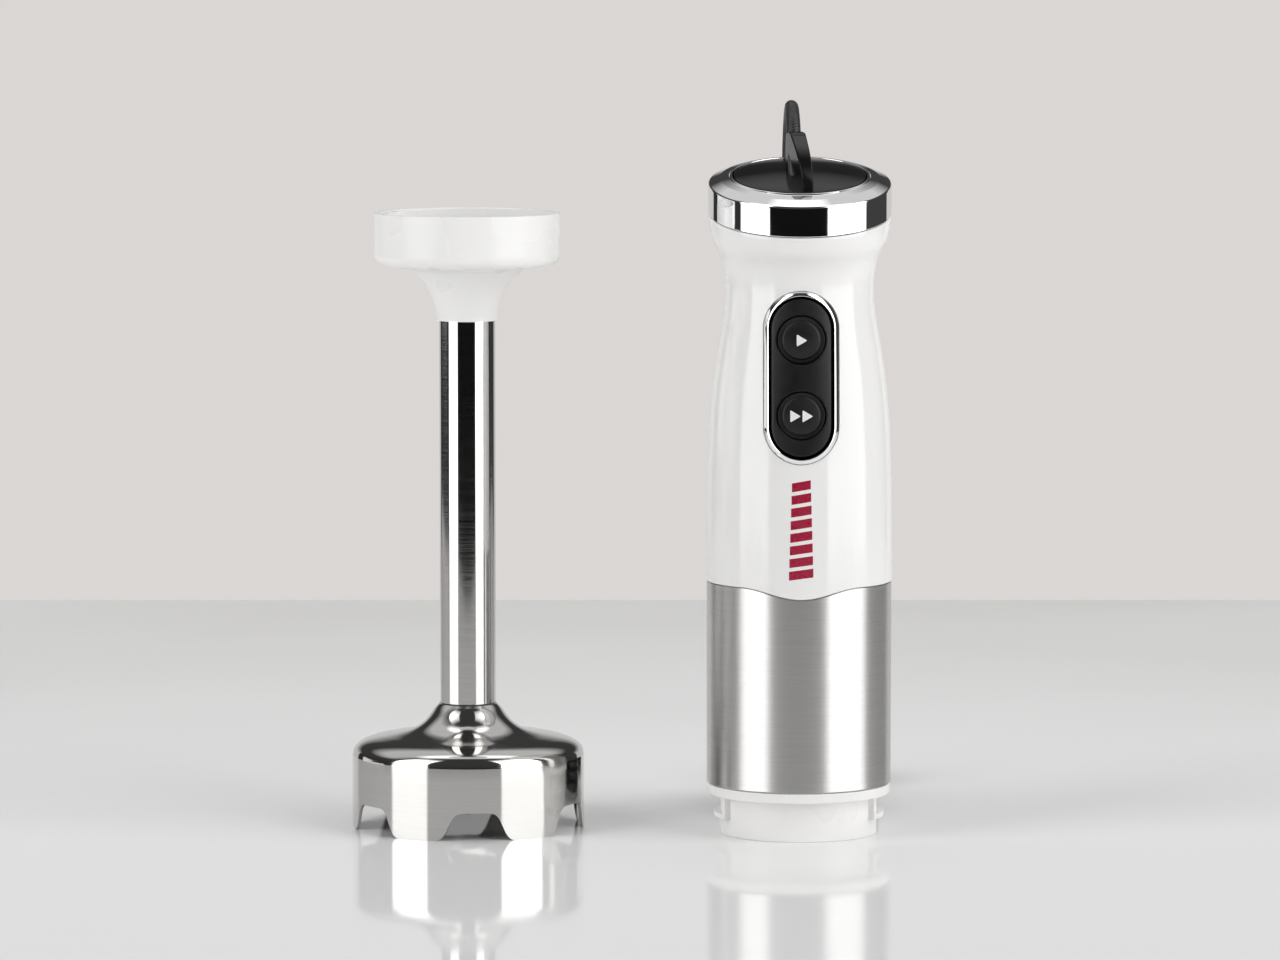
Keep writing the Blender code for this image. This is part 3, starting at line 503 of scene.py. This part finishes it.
# --- stage, light and camera --------------------------------------------------------------------
VIEW_TARGET = Vector((0.0059, 0.0, 0.1080))
VIEW_DISTANCE = 2.1
CAMERA_HEIGHT = 0.31
VIEW_WIDTH = 0.3955  # metres seen across the picture at the object
FLOOR_FRONT = -0.62
FLOOR_BACK = 0.62
FLOOR_HALF_WIDTH = 0.9

SOFTBOX = 2.9
STUDIO = [  # azimuth from the camera's side, and the brightness from there on
    (-180, 0.62), (-141, 0.03), (-80, SOFTBOX), (-40, 0.006), (34.5, SOFTBOX), (90, 0.05), (140, 0.62),
]
BAND_EDGE = 0.8  # degrees over which one band goes over into the next, to either side
WALL_TOP, SOFTBOX_TOP = 8, 50  # degrees above the horizon where the pale walls and the softboxes fade out
FADE = 0.16
CEILING = 0.05
BACKLIGHT = 0.60  # the pale ceiling behind the object
BACKLIGHT_FROM, BACKLIGHT_FADE = 0.49, 0.18
OVERHEAD = 2.0  # the brighter part of it, overhead
OVERHEAD_FROM, OVERHEAD_FADE = 0.88, 0.05
WINDOW = (-109.5, 18.5, 0.02, 0.08)  # a small window: its azimuth, half width, height and half height
WINDOW_LIGHT = 0.3  # against the softboxes
BACKDROP = (0.70, 0.675, 0.66)


def make_camera():
    camera = bpy.data.objects.new("camera", bpy.data.cameras.new("camera"))
    camera.location = (VIEW_TARGET.x, -VIEW_DISTANCE, CAMERA_HEIGHT)
    ray = VIEW_TARGET - camera.location
    camera.rotation_euler = ray.to_track_quat("-Z", "Y").to_euler()
    camera.data.sensor_width = 36.0
    camera.data.lens = camera.data.sensor_width * ray.length / VIEW_WIDTH
    bpy.context.scene.collection.objects.link(camera)
    bpy.context.scene.camera = camera


def make_floor():
    """A pale glossy table top, with painted shade that turns it a little warmer and darker towards the back.
    """
    left, right = -FLOOR_HALF_WIDTH, FLOOR_HALF_WIDTH
    corners = [(left, FLOOR_FRONT), (right, FLOOR_FRONT), (right, FLOOR_BACK), (left, FLOOR_BACK)]
    bm = bmesh.new()
    bm.faces.new([bm.verts.new((x / MM, y / MM, 0)) for x, y in corners])
    floor = new_object("floor", bm, Vector())
    look = Look("floor", 0.1, color=(0.95, 0.95, 0.95), IOR=1.18)
    look.rough(look.noise(30, 3), 0.04, 0.08)
    # painted shade: the floor's colour darkens and warms along Y towards the back
    look.tint(look.along("Y"), (0.68, 0.665, 0.655), 1.0, 0.05, FLOOR_BACK)
    look.tint(look.noise(4, 2), (0.93, 0.93, 0.93), 0.3)
    floor.data.materials.append(look.material)


class Studio:
    """The world's shader nodes: brightness by direction."""

    def __init__(self):
        world = bpy.data.worlds.new("studio")
        bpy.context.scene.world = world
        world.use_nodes = True
        self.nodes, self.join = world.node_tree.nodes, world.node_tree.links.new
        direction = self.nodes.new("ShaderNodeTexCoord").outputs["Generated"]
        split = self.nodes.new("ShaderNodeSeparateXYZ")
        self.join(direction, split.inputs["Vector"])
        x, self.y, self.z = split.outputs
        self.turn = self.compute("ARCTAN2", x, self.compute("MULTIPLY", self.y, -1))

    def compute(self, operation, *values, clamp=False):
        node = self.nodes.new("ShaderNodeMath")
        node.operation = operation
        node.use_clamp = clamp
        for socket, value in zip(node.inputs, values):
            if isinstance(value, (int, float)):
                socket.default_value = value
            else:
                self.join(value, socket)
        return node.outputs["Value"]

    def rise(self, start, width):
        """From 0 to 1 as the direction's height goes from start over a width."""
        return self.compute("DIVIDE", self.compute("SUBTRACT", self.z, start), width, clamp=True)

    def mix(self, share, first, second):
        """A blend of two brightnesses, each a socket or a number."""
        mix = self.nodes.new("ShaderNodeMix")
        mix.data_type = "RGBA"
        for name, value in (("A", first), ("B", second)):
            if isinstance(value, float):
                mix.inputs[name].default_value = (value, value, value, 1)
            else:
                self.join(value, mix.inputs[name])
        self.join(share, mix.inputs["Factor"])
        return mix.outputs["Result"]

    def bands(self):
        """The softboxes and walls round the horizon, against the softboxes' brightness."""
        stops = [(0.0, STUDIO[0][1])]
        for (_, before), (azimuth, value) in zip(STUDIO, STUDIO[1:]):
            stops += [((azimuth - BAND_EDGE) / 360 + 0.5, before), ((azimuth + BAND_EDGE) / 360 + 0.5, value)]
        ramp = self.nodes.new("ShaderNodeValToRGB")
        elements = ramp.color_ramp.elements
        while len(elements) < len(stops):
            elements.new(0.5)
        for element, (at, value) in zip(elements, sorted(stops)):
            level = value / SOFTBOX
            element.position = at
            element.color = (level, level, level, 1)
        share = self.compute("ADD", self.compute("DIVIDE", self.turn, 2 * pi), 0.5)
        self.join(share, ramp.inputs["Fac"])
        return ramp.outputs["Color"]

    def ceiling(self):
        """Dark, but pale behind the object and brighter overhead."""
        behind = self.compute("MULTIPLY_ADD", self.y, 3.0, 0.3, clamp=True)
        steep = self.rise(BACKLIGHT_FROM, BACKLIGHT_FADE)
        overhead = self.rise(OVERHEAD_FROM, OVERHEAD_FADE)
        extra = (OVERHEAD - BACKLIGHT) / SOFTBOX
        pale = self.compute("MULTIPLY_ADD", overhead, extra, BACKLIGHT / SOFTBOX)
        return self.compute("MULTIPLY_ADD", self.compute("MULTIPLY", behind, steep), pale, CEILING / SOFTBOX)

    def window(self):
        azimuth, half_width, level, half_height = WINDOW
        across = self.compute("COMPARE", self.turn, radians(azimuth), radians(half_width))
        return self.compute("MULTIPLY", across, self.compute("COMPARE", self.z, level, half_height))


def make_studio():
    """A dark studio with two tall softboxes and a pale backdrop, which the camera sees plain."""
    studio = Studio()
    bands = studio.bands()
    softbox = studio.compute("GREATER_THAN", bands, 0.9)
    low, high = sin(radians(WALL_TOP)), sin(radians(SOFTBOX_TOP))
    height = studio.rise(studio.compute("MULTIPLY_ADD", softbox, high - low, low), FADE)
    lights = studio.mix(studio.window(), studio.mix(height, bands, studio.ceiling()), WINDOW_LIGHT)

    nodes, join = studio.nodes, studio.join
    lit = nodes["Background"]
    lit.inputs["Strength"].default_value = SOFTBOX
    join(lights, lit.inputs["Color"])
    plain = nodes.new("ShaderNodeBackground")
    plain.inputs["Color"].default_value = (*BACKDROP, 1)
    chooser = nodes.new("ShaderNodeMixShader")
    join(nodes.new("ShaderNodeLightPath").outputs["Is Camera Ray"], chooser.inputs["Fac"])
    join(lit.outputs["Background"], chooser.inputs[1])
    join(plain.outputs["Background"], chooser.inputs[2])
    join(chooser.outputs["Shader"], nodes["World Output"].inputs["Surface"])


# --- cord ---------------------------------------------------------------------------------------
def bend_point(turn):
    """A point of the cord's first bend, after it has turned by so many degrees."""
    center = CORD_EXIT + Vector((0, sin(radians(CORD_RISE)), -cos(radians(CORD_RISE)))) * CORD_BEND_R
    a = radians(90 + CORD_RISE - turn)
    return center + Vector((-0.9 * turn / CORD_BEND_END, CORD_BEND_R * cos(a), CORD_BEND_R * sin(a)))


def coil_point(turn, radius, z):
    a = radians(turn)
    return COIL_CENTER + Vector((radius * cos(a), radius * sin(a), z))


def cord_route():
    """The cord: over its bend, down behind the handle, round the coil's two layers, and out to the plug."""
    route = [bend_point(CORD_BEND_END * i / 10) for i in range(11)]
    route += [Vector(p) for p in ((-3.8, 35.2, 185), (-6.8, 34.6, 150), (-10.6, 34.6, 110), (-14.4, 36.0, 75),
                                  (-16.5, 36.4, 51.2), (-14.1, 35.8, 32.2), (-7.5, 35.5, 25.6))]
    route += [coil_point(a, COIL_INNER_R, COIL_ENTRY) for a in (-90, -66, -42)]
    around_layer = COIL_TURNS * 360
    inner_start = 50
    inner_end = inner_start + around_layer
    outer_start, outer_end = inner_end + 60, 2 * around_layer + 48
    for turn in range(0, outer_end, 20):
        radius = COIL_INNER_R
        if turn < inner_start:
            z = COIL_ENTRY + (COIL_HIGH - COIL_ENTRY) * (turn + 42) / (inner_start + 42)
        elif turn < inner_end:
            z = COIL_HIGH + (COIL_LOW - COIL_HIGH) * (turn - inner_start) / around_layer
        elif turn < outer_start:
            share = (turn - inner_end) / (outer_start - inner_end)
            radius, z = COIL_INNER_R + CORD_D * (1 - cos(pi * share)) / 2, COIL_LOW
        else:
            share = (turn - outer_start) / (outer_end - outer_start)
            radius, z = COIL_INNER_R + CORD_D, COIL_LOW + (COIL_HIGH - COIL_LOW) * share
        route.append(coil_point(turn, radius, z))
    route += [Vector(p) for p in ((16.22, 69.85, COIL_HIGH), (13.99, 72.34, 18.7), (12.31, 75.23, 18.0),
                                  (11.28, 78.41, 17.1), (10.95, 81.74, 16.2),
                                   (11, 85.0, 15.47), (11, 88.5, 14.72))]
    return route


def make_cord():
    curve = bpy.data.curves.new("cord", "CURVE")
    curve.dimensions = "3D"
    curve.bevel_depth = CORD_D * MM / 2
    curve.bevel_resolution = 5
    curve.resolution_u = 4
    curve.use_fill_caps = True
    spline = curve.splines.new("BEZIER")
    route = cord_route()
    spline.bezier_points.add(len(route) - 1)
    for point, place in zip(spline.bezier_points, route):
        point.co = (place + MOTOR) * MM
        point.handle_left_type = point.handle_right_type = "AUTO"
    cord = bpy.data.objects.new("cord", curve)
    bpy.context.scene.collection.objects.link(cord)
    return dress(cord, "motor_unit", "black_cord", "cord_lead", "cord_coil", "cord_tail")


def make_boot():
    """The tapered strain relief round the cord's first bend, with shallow rings moulded in it."""
    steps, thick, thin, ring_height = 160, 1.12, 1.0, 0.05
    stations = []
    for i in range(steps + 1):
        share = i / steps
        turn = BOOT_FROM + (BOOT_TO - BOOT_FROM) * share
        ring = ring_height * (1 if i % 8 < 5 else -1) if 8 < i < steps - 8 else 0.0
        radius = CORD_D / 2 * (thick + (thin - thick) * share) + ring
        a = radians(90 + CORD_RISE - turn)
        stations.append((bend_point(turn), Vector((1, 0, 0)), Vector((0, cos(a), sin(a))), radius))
    return dress(swept("strain_relief", stations, MOTOR), "motor_unit", "black_cord", "cord_boot")


def make_cords():
    cord, boot = make_cord(), make_boot()


# --- motor unit ---------------------------------------------------------------------------------
def make_handle():
    """The white handle shell: waisted, cut at a slant above and to the sleeve's wave below."""
    outer = [tuple(p) for p in smooth_line(HANDLE_OUTLINE, 8) if p.y > WAVE_FROM]
    outer += [(handle_radius(z), z) for z in [WAVE_FROM - 1.5 * i for i in range(1, 15)]]
    bottom = SLEEVE_TOP + GAP
    profile = [(28.1 - 0.25, HANDLE_TOP), *outer[1:],
                (28.5, bottom), (28.35, bottom - 0.001), (27.3, bottom - 0.002),
               (27.3, 60.0), (25.6, 60.0), (25.6, 112.0), (24.0, 137.0),
                (21.2, 155.0), (20.2, 168.0), (21.4, 178.0),
               (25.0, HANDLE_TOP)]

    def move(p):
        share = min(max((p.z - SLANT_FROM) / (HANDLE_TOP - SLANT_FROM), 0.0), 1.0)
        z = p.z + share * p.y * TOP_TILT
        if 70 < p.z < WAVE_FROM:
            z = WAVE_FROM + (WAVE_FROM - p.z) / (WAVE_FROM - SLEEVE_TOP) * (sleeve_edge(p.x) - WAVE_FROM)
        return Vector((p.x, p.y, z))

    handle = lofted("handle", turned_rings(profile, 192, move), MOTOR, closed=True)
    slot = stadium(BEZEL_WIDTH + GAP, BEZEL_HEIGHT + GAP)
    cutter = lofted("slot_cutter", [[Vector((p.x, y, p.y + PANEL_Z)) for p in slot] for y in (-40, -14)],
                    MOTOR)
    cut(handle, cutter)
    shade(handle)
    return dress(handle, "motor_unit", "white_gloss_plastic", "handle_shell")


def cut(obj, *cutters):
    for cutter in cutters:
        boolean = obj.modifiers.new("cut", "BOOLEAN")
        boolean.solver = "EXACT"
        boolean.object = cutter
    bpy.context.view_layer.update()
    apply_modifiers(obj)
    for cutter in cutters:
        bpy.data.objects.remove(cutter)


def make_sleeve():
    inner = BODY_R - SLEEVE_WALL
    level = 60  # the sleeve is level up to here, and its wave grows above
    profile = rounded([(BODY_R, SLEEVE_TOP), (BODY_R, 66), (BODY_R, level), (BODY_R, SLEEVE_BOTTOM),
                       (inner, SLEEVE_BOTTOM), (inner, level), (inner, SLEEVE_TOP)],
                      [0.2, 0, 0, 0.2, 0.1, 0, 0.2])

    def move(p):
        rise = max(0.0, p.z - level) / (SLEEVE_TOP - level)
        return Vector((p.x, p.y, p.z + rise * (sleeve_edge(p.x) - SLEEVE_TOP)))

    sleeve = turned("sleeve", profile, MOTOR, 192, move=move)
    return dress(sleeve, "motor_unit", "brushed_steel", "body_sleeve")


def make_top():
    """The chrome ring and the black cap in it, both slanted."""
    ring = rounded([(20.7, 202.85), (21.4, 202.85), (21.8, 202.4), (24.5, 201.9), (28.1, 200.5),
                    (28.1, 191.4), (24.8, 191.4), (24.8, 199.0), (20.7, 200.0)],
                   [0.25, 0.3, 0.4, 2.0, 0.9, 0.3, 0.2, 0.2, 0.2], steps=8)
    dress(turned("top_ring_trim", ring, MOTOR, 192, move=slanted), "motor_unit", "chrome_trim", "top_ring")
    crown = [(DOME_R * s, DOME_Z + DOME_RISE * (1 - s * s))
             for s in [0.02 + 0.96 * i / 20 for i in range(21)]]
    profile = crown + [(DOME_R - 0.1, DOME_Z - 0.1), (DOME_R, DOME_Z - 0.4), (DOME_R, 198.2)]
    dome = turned("top_dome", profile, MOTOR, 160, closed=False, move=slanted)
    dress(dome, "motor_unit", "black_gloss_plastic", "top_cap")


def make_guard():
    """The fin that leads the cord out of the cap, turned a little to one side."""
    leading = smooth_line([(-19.8, 195.0), (-18.6, 202.0), (-13.0, 209.6), (-5.0, 215.9)], 6)
    trailing = [(-1.8, 216.2), (1.4, 215.0), (3.2, 211.0), (3.8, 205.0), (3.8, 199.0)]
    outline = leading + smooth_line(trailing, 4)
    bm = plate_mesh([outline], -GUARD_THICK / 2, GUARD_THICK / 2, 0.0)
    sides = [e for e in bm.edges
             if e.calc_face_angle(0) > 1.0 and abs(e.verts[0].co.z - e.verts[1].co.z) < 0.1]
    bmesh.ops.bevel(bm, geom=sides, offset=0.6, segments=3, profile=0.5, affect="EDGES")
    for vert in bm.verts:  # thinner towards its foot
        vert.co.z *= (2.9 + 2.0 * (vert.co.y - 195.0) / 21.0) / GUARD_THICK
    turn = Matrix.Rotation(radians(90 + GUARD_TURN), 4, "Z") @ Matrix.Rotation(radians(90), 4, "X")
    bm.transform(Matrix.Translation((-1.7, 0, 0)) @ turn)
    guard = new_object("cord_fin", bm, MOTOR)
    shade(guard)
    return dress(guard, "motor_unit", "black_gloss_plastic", "cord_guard")


def make_bezel():
    """The chrome band round the panel, swept along its outline on the handle's surface."""
    section = [(0.75, -2.5), (0.75, 0.0), (0.66, 0.16), (0.3, 0.48), (-0.1, 0.74), (-0.38, 0.87),
               (-0.55, 0.89), (-0.68, 0.80), (-0.75, 0.55), (-0.75, -2.5)]
    outline = stadium(BEZEL_WIDTH - BEZEL_BAND, BEZEL_HEIGHT - BEZEL_BAND, 48)
    rings = []
    for before, here, after in zip(outline[-1:] + outline[:-1], outline, outline[1:] + outline[:1]):
        along = (after - before).normalized()
        out = Vector((along.y, -along.x))
        rings.append([on_handle(here.x + out.x * n, PANEL_Z + here.y + out.y * n, h) for n, h in section])
    bezel = lofted("bezel", rings, MOTOR, closed=True)
    shade(bezel)
    return dress(bezel, "motor_unit", "chrome_trim", "button_bezel")


def circle(radius, center_z, count=64):
    turns = [2 * pi * i / count for i in range(count)]
    return [Vector((radius * cos(a), center_z + radius * sin(a))) for a in turns]


def make_panel():
    slot = stadium(BEZEL_WIDTH - 2 * PANEL_MARGIN, BEZEL_HEIGHT - 2 * PANEL_MARGIN)
    outline = [p + Vector((0, PANEL_Z)) for p in slot]
    holes = [circle(BUTTON_R + GAP, z) for z in BUTTONS.values()]
    panel = wrapped("panel", [outline, *holes], -3.0, PANEL_PROUD, on_handle, MOTOR, bevel=0.4)
    return dress(panel, "motor_unit", "black_soft_rubber", "button_panel")


# height of a button's face over its seat, by radius
CROWN = [tuple(p) for p in smooth_line([(0, 1.4), (3.0, 1.2), (5.2, 0.78), (5.75, 0.5), (6.0, 0.1)], 6)]


def make_button(name, z, marks):
    """A domed button and the white marks printed on it."""
    body = f"{name}_button"
    face = handle_radius(z) - BUTTON_SEAT
    profile = [(max(r, 0.15), h) for r, h in CROWN]
    side = [(6.0, 0.1), (BUTTON_R, 0.25), (BUTTON_R, -3.0), (2.5, -3.0), (2.5, -9.0)]
    profile += rounded(side, 0.15, False)[1:]

    def front(p):
        return Vector((p.x, -face - p.z, z + p.y))

    button = turned(f"button_{name}_cap", profile, MOTOR, 96, closed=False, move=front)
    dress(button, body, "black_soft_rubber", f"button_{name}")

    def surface(x, height_z, h):
        return Vector((x, -face - interpolate(CROWN, hypot(x, height_z)) - h, z + height_z))

    for i, outline in enumerate(marks):
        mark = wrapped(f"mark_{name}_{i}", [outline], -0.15, MARK_PROUD, surface, MOTOR, spacing=0.5)
        dress(mark, body, "white_print")


def triangle(left, size):
    """A triangle that points right, as speed marks do."""
    return rounded([(left, -size / 2), (left + size * 0.85, 0), (left, size / 2)], 0.25, steps=3)


def make_buttons():
    single = triangle(-0.38 * MARK_SIZE, MARK_SIZE)
    double = [triangle(left * MARK_SIZE, MARK_SIZE) for left in (-0.9, 0.08)]
    make_button("on", BUTTONS["on"], [single])
    make_button("turbo", BUTTONS["turbo"], double)


def make_handle_mark():
    """A plain printed ornament: a column of slanted stripes that grow shorter upwards."""
    count, pitch, thick, lean = 8, 3.85, 2.7, 1.0
    for i in range(count):
        low = 81.0 + pitch * i
        half = 3.7 - 0.12 * i
        outline = [(-half, low), (half, low + lean), (half, low + lean + thick), (-half, low + thick)]
        stripe = wrapped(f"stripe_{i}", [outline], -0.15, MARK_PROUD, on_handle, MOTOR)
        dress(stripe, "motor_unit", "crimson_print")


def curved_bar(name, inner, outer, start, end, low, high, axis, bevel=0.25):
    """A bar round an axis between two azimuths, with rounded edges."""
    steps = max(4, int((end - start) / 2))
    section = rounded([(inner, low), (outer, low), (outer, high), (inner, high)], bevel, steps=3)
    rings = [[around(start + (end - start) * i / steps, r, z) for r, z in section] for i in range(steps + 1)]
    bar = lofted(name, rings, axis)
    shade(bar)
    return bar


def make_collar():
    """The white bayonet collar under the sleeve, with its two rails and their stops."""
    profile = rounded([(27.2, 21.2), (27.2, 15.5), (28.0, 15.5), (28.0, FLANGE_Z), (SPIGOT_R, FLANGE_Z),
                       (SPIGOT_R, 0), (22.1, 0), (22.1, 12.6), (8.2, 12.6), (8.2, 15.2), (25.2, 15.2),
                       (25.2, 21.2)],
                      [0.2, 0, 0.5, 0.5, 0.4, 0.4, 0.4, 0.5, 0.3, 0.3, 0.2, 0.2])
    dress(turned("collar", profile, MOTOR), "motor_unit", "white_satin_plastic", "bayonet_collar")
    for side, start in (("right", 61.5), ("left", -118.5)):
        rail = curved_bar(f"rail_{side}", SPIGOT_R - 0.8, 26.2, start, start + 57, 5.4, 7.0, MOTOR)
        dress(rail, "motor_unit", "white_satin_plastic")
        stop_from = start + 0.4 if side == "right" else start + 57 - 4
        stop = curved_bar(f"stop_{side}", SPIGOT_R - 0.7, 26.0, stop_from, stop_from + 3.6, 5.8, 12.9, MOTOR)
        dress(stop, "motor_unit", "white_satin_plastic")
    index = curved_bar("index_rib", SPIGOT_R + 1, 27.6, -1.3, 1.3, FLANGE_Z - 0.4, FLANGE_Z + 1, MOTOR)
    dress(index, "motor_unit", "white_satin_plastic")


# --- blending foot ------------------------------------------------------------------------------
def make_cup():
    """The white coupling cup, its cone down to the tube, and its two lugs."""
    foot_r, cone_r, corner_r = 9.4, 19.1, 2.8
    cone = arc((foot_r + cone_r, CONE_BOTTOM), cone_r, 123, 180, 24)
    corner = [Vector((CUP_R - corner_r + corner_r * cos(a), 178.2 - 3.7 * sin(a)))
              for a in [radians(9 * i) for i in range(11)]]
    rim = [(CUP_INNER_R, CUP_FLOOR + 4), (CUP_INNER_R, CUP_RIM), (CUP_R, CUP_RIM), (CUP_R, 182)]
    rim = rounded(rim, 0.45, False)[1:-1]
    inner = [(foot_r, CONE_BOTTOM), (8.95, CONE_BOTTOM), (8.95, 168.3), (6.5, 168.3), (6.5, CUP_FLOOR),
             (CUP_INNER_R, CUP_FLOOR), (CUP_INNER_R, CUP_RIM - 1)]
    inner = rounded(inner, 0.25, False)[1:-1]
    cup = turned("cup", rim + corner + cone + inner, FOOT)
    dress(cup, "blending_foot", "white_satin_plastic", "coupling_collar")
    for side, start in (("rear", -144), ("front", 36)):
        lug = curved_bar(f"lug_{side}", 24.5, CUP_INNER_R + 0.4, start, start + 50, 185.7, 190.3, FOOT)
        dress(lug, "blending_foot", "white_satin_plastic")


def make_tube():
    inner, bottom = TUBE_R - TUBE_WALL, BELL_TOP + GAP
    profile = rounded([(TUBE_R, TUBE_TOP), (TUBE_R, bottom), (inner, bottom), (inner, TUBE_TOP)], 0.2)
    return dress(turned("tube", profile, FOOT, 128), "blending_foot", "polished_steel", "foot_tube")


# height of a slot's edge, by its distance from the slot's middle
SCALLOP = [(p.x, max(p.y, 0.0)) for p in smooth_line(
    [(0, 8.6), (4.4, 8.55), (6.0, 8.1), (7.2, 6.8), (8.1, 5.0), (8.9, 3.2), (9.9, 1.4), (11.1, 0.3),
     (12.3, 0.0)], 6)]


def bell_edge(azimuth):
    """Height of the bell's lower edge, which rises in a scallop at each slot."""
    spacing = 360 / SLOT_COUNT
    off = (azimuth - SLOT_TURN + spacing / 2) % spacing - spacing / 2
    return interpolate(SCALLOP, abs(BELL_R * sin(radians(off))))


def make_bell():
    """The steel bell, pressed from one sheet: flared neck, rounded shoulder and a scalloped wall."""
    slope = smooth_line([(9.0, BELL_TOP), (10.4, 36.7), (12.5, 33.8), (14.6, 31.7), (17.5, 30.1),
                         (22.0, 28.9), (27.0, 28.0), (31.0, 27.1), (33.8, 25.9), (35.4, 24.3),
                         (BELL_R, BELL_WALL_TOP)], 5)
    count, steps = 432, 8
    profile = [tuple(p) for p in slope] + [(BELL_R, z) for z in (18, 14, SCALLOP_TOP)]
    rings = turned_rings(profile, count)
    azimuths = [360 * k / count for k in range(count)]
    for i in range(1, steps + 1):
        rings.append([around(a, BELL_R, SCALLOP_TOP + (bell_edge(a) - SCALLOP_TOP) * i / steps)
                      for a in azimuths])
    bell = lofted("bell", rings, FOOT, capped=False)
    shell = bell.modifiers.new("wall", "SOLIDIFY")
    shell.thickness = BELL_WALL * MM
    shell.offset = -1
    bpy.context.view_layer.update()
    apply_modifiers(bell)
    shade(bell, 40)
    return dress(bell, "blending_foot", "polished_steel", "bell_guard")


def main():
    plastic_looks()
    metal_looks()
    other_looks()
    dress_cad_nodes()
    make_camera()
    make_cords()
    make_handle()
    make_sleeve()
    make_top()
    make_guard()
    make_bezel()
    make_panel()
    make_buttons()
    make_handle_mark()
    make_collar()
    make_cup()
    make_tube()
    make_bell()
    make_floor()
    make_studio()
    bpy.context.scene.view_settings.view_transform = "Standard"


main()
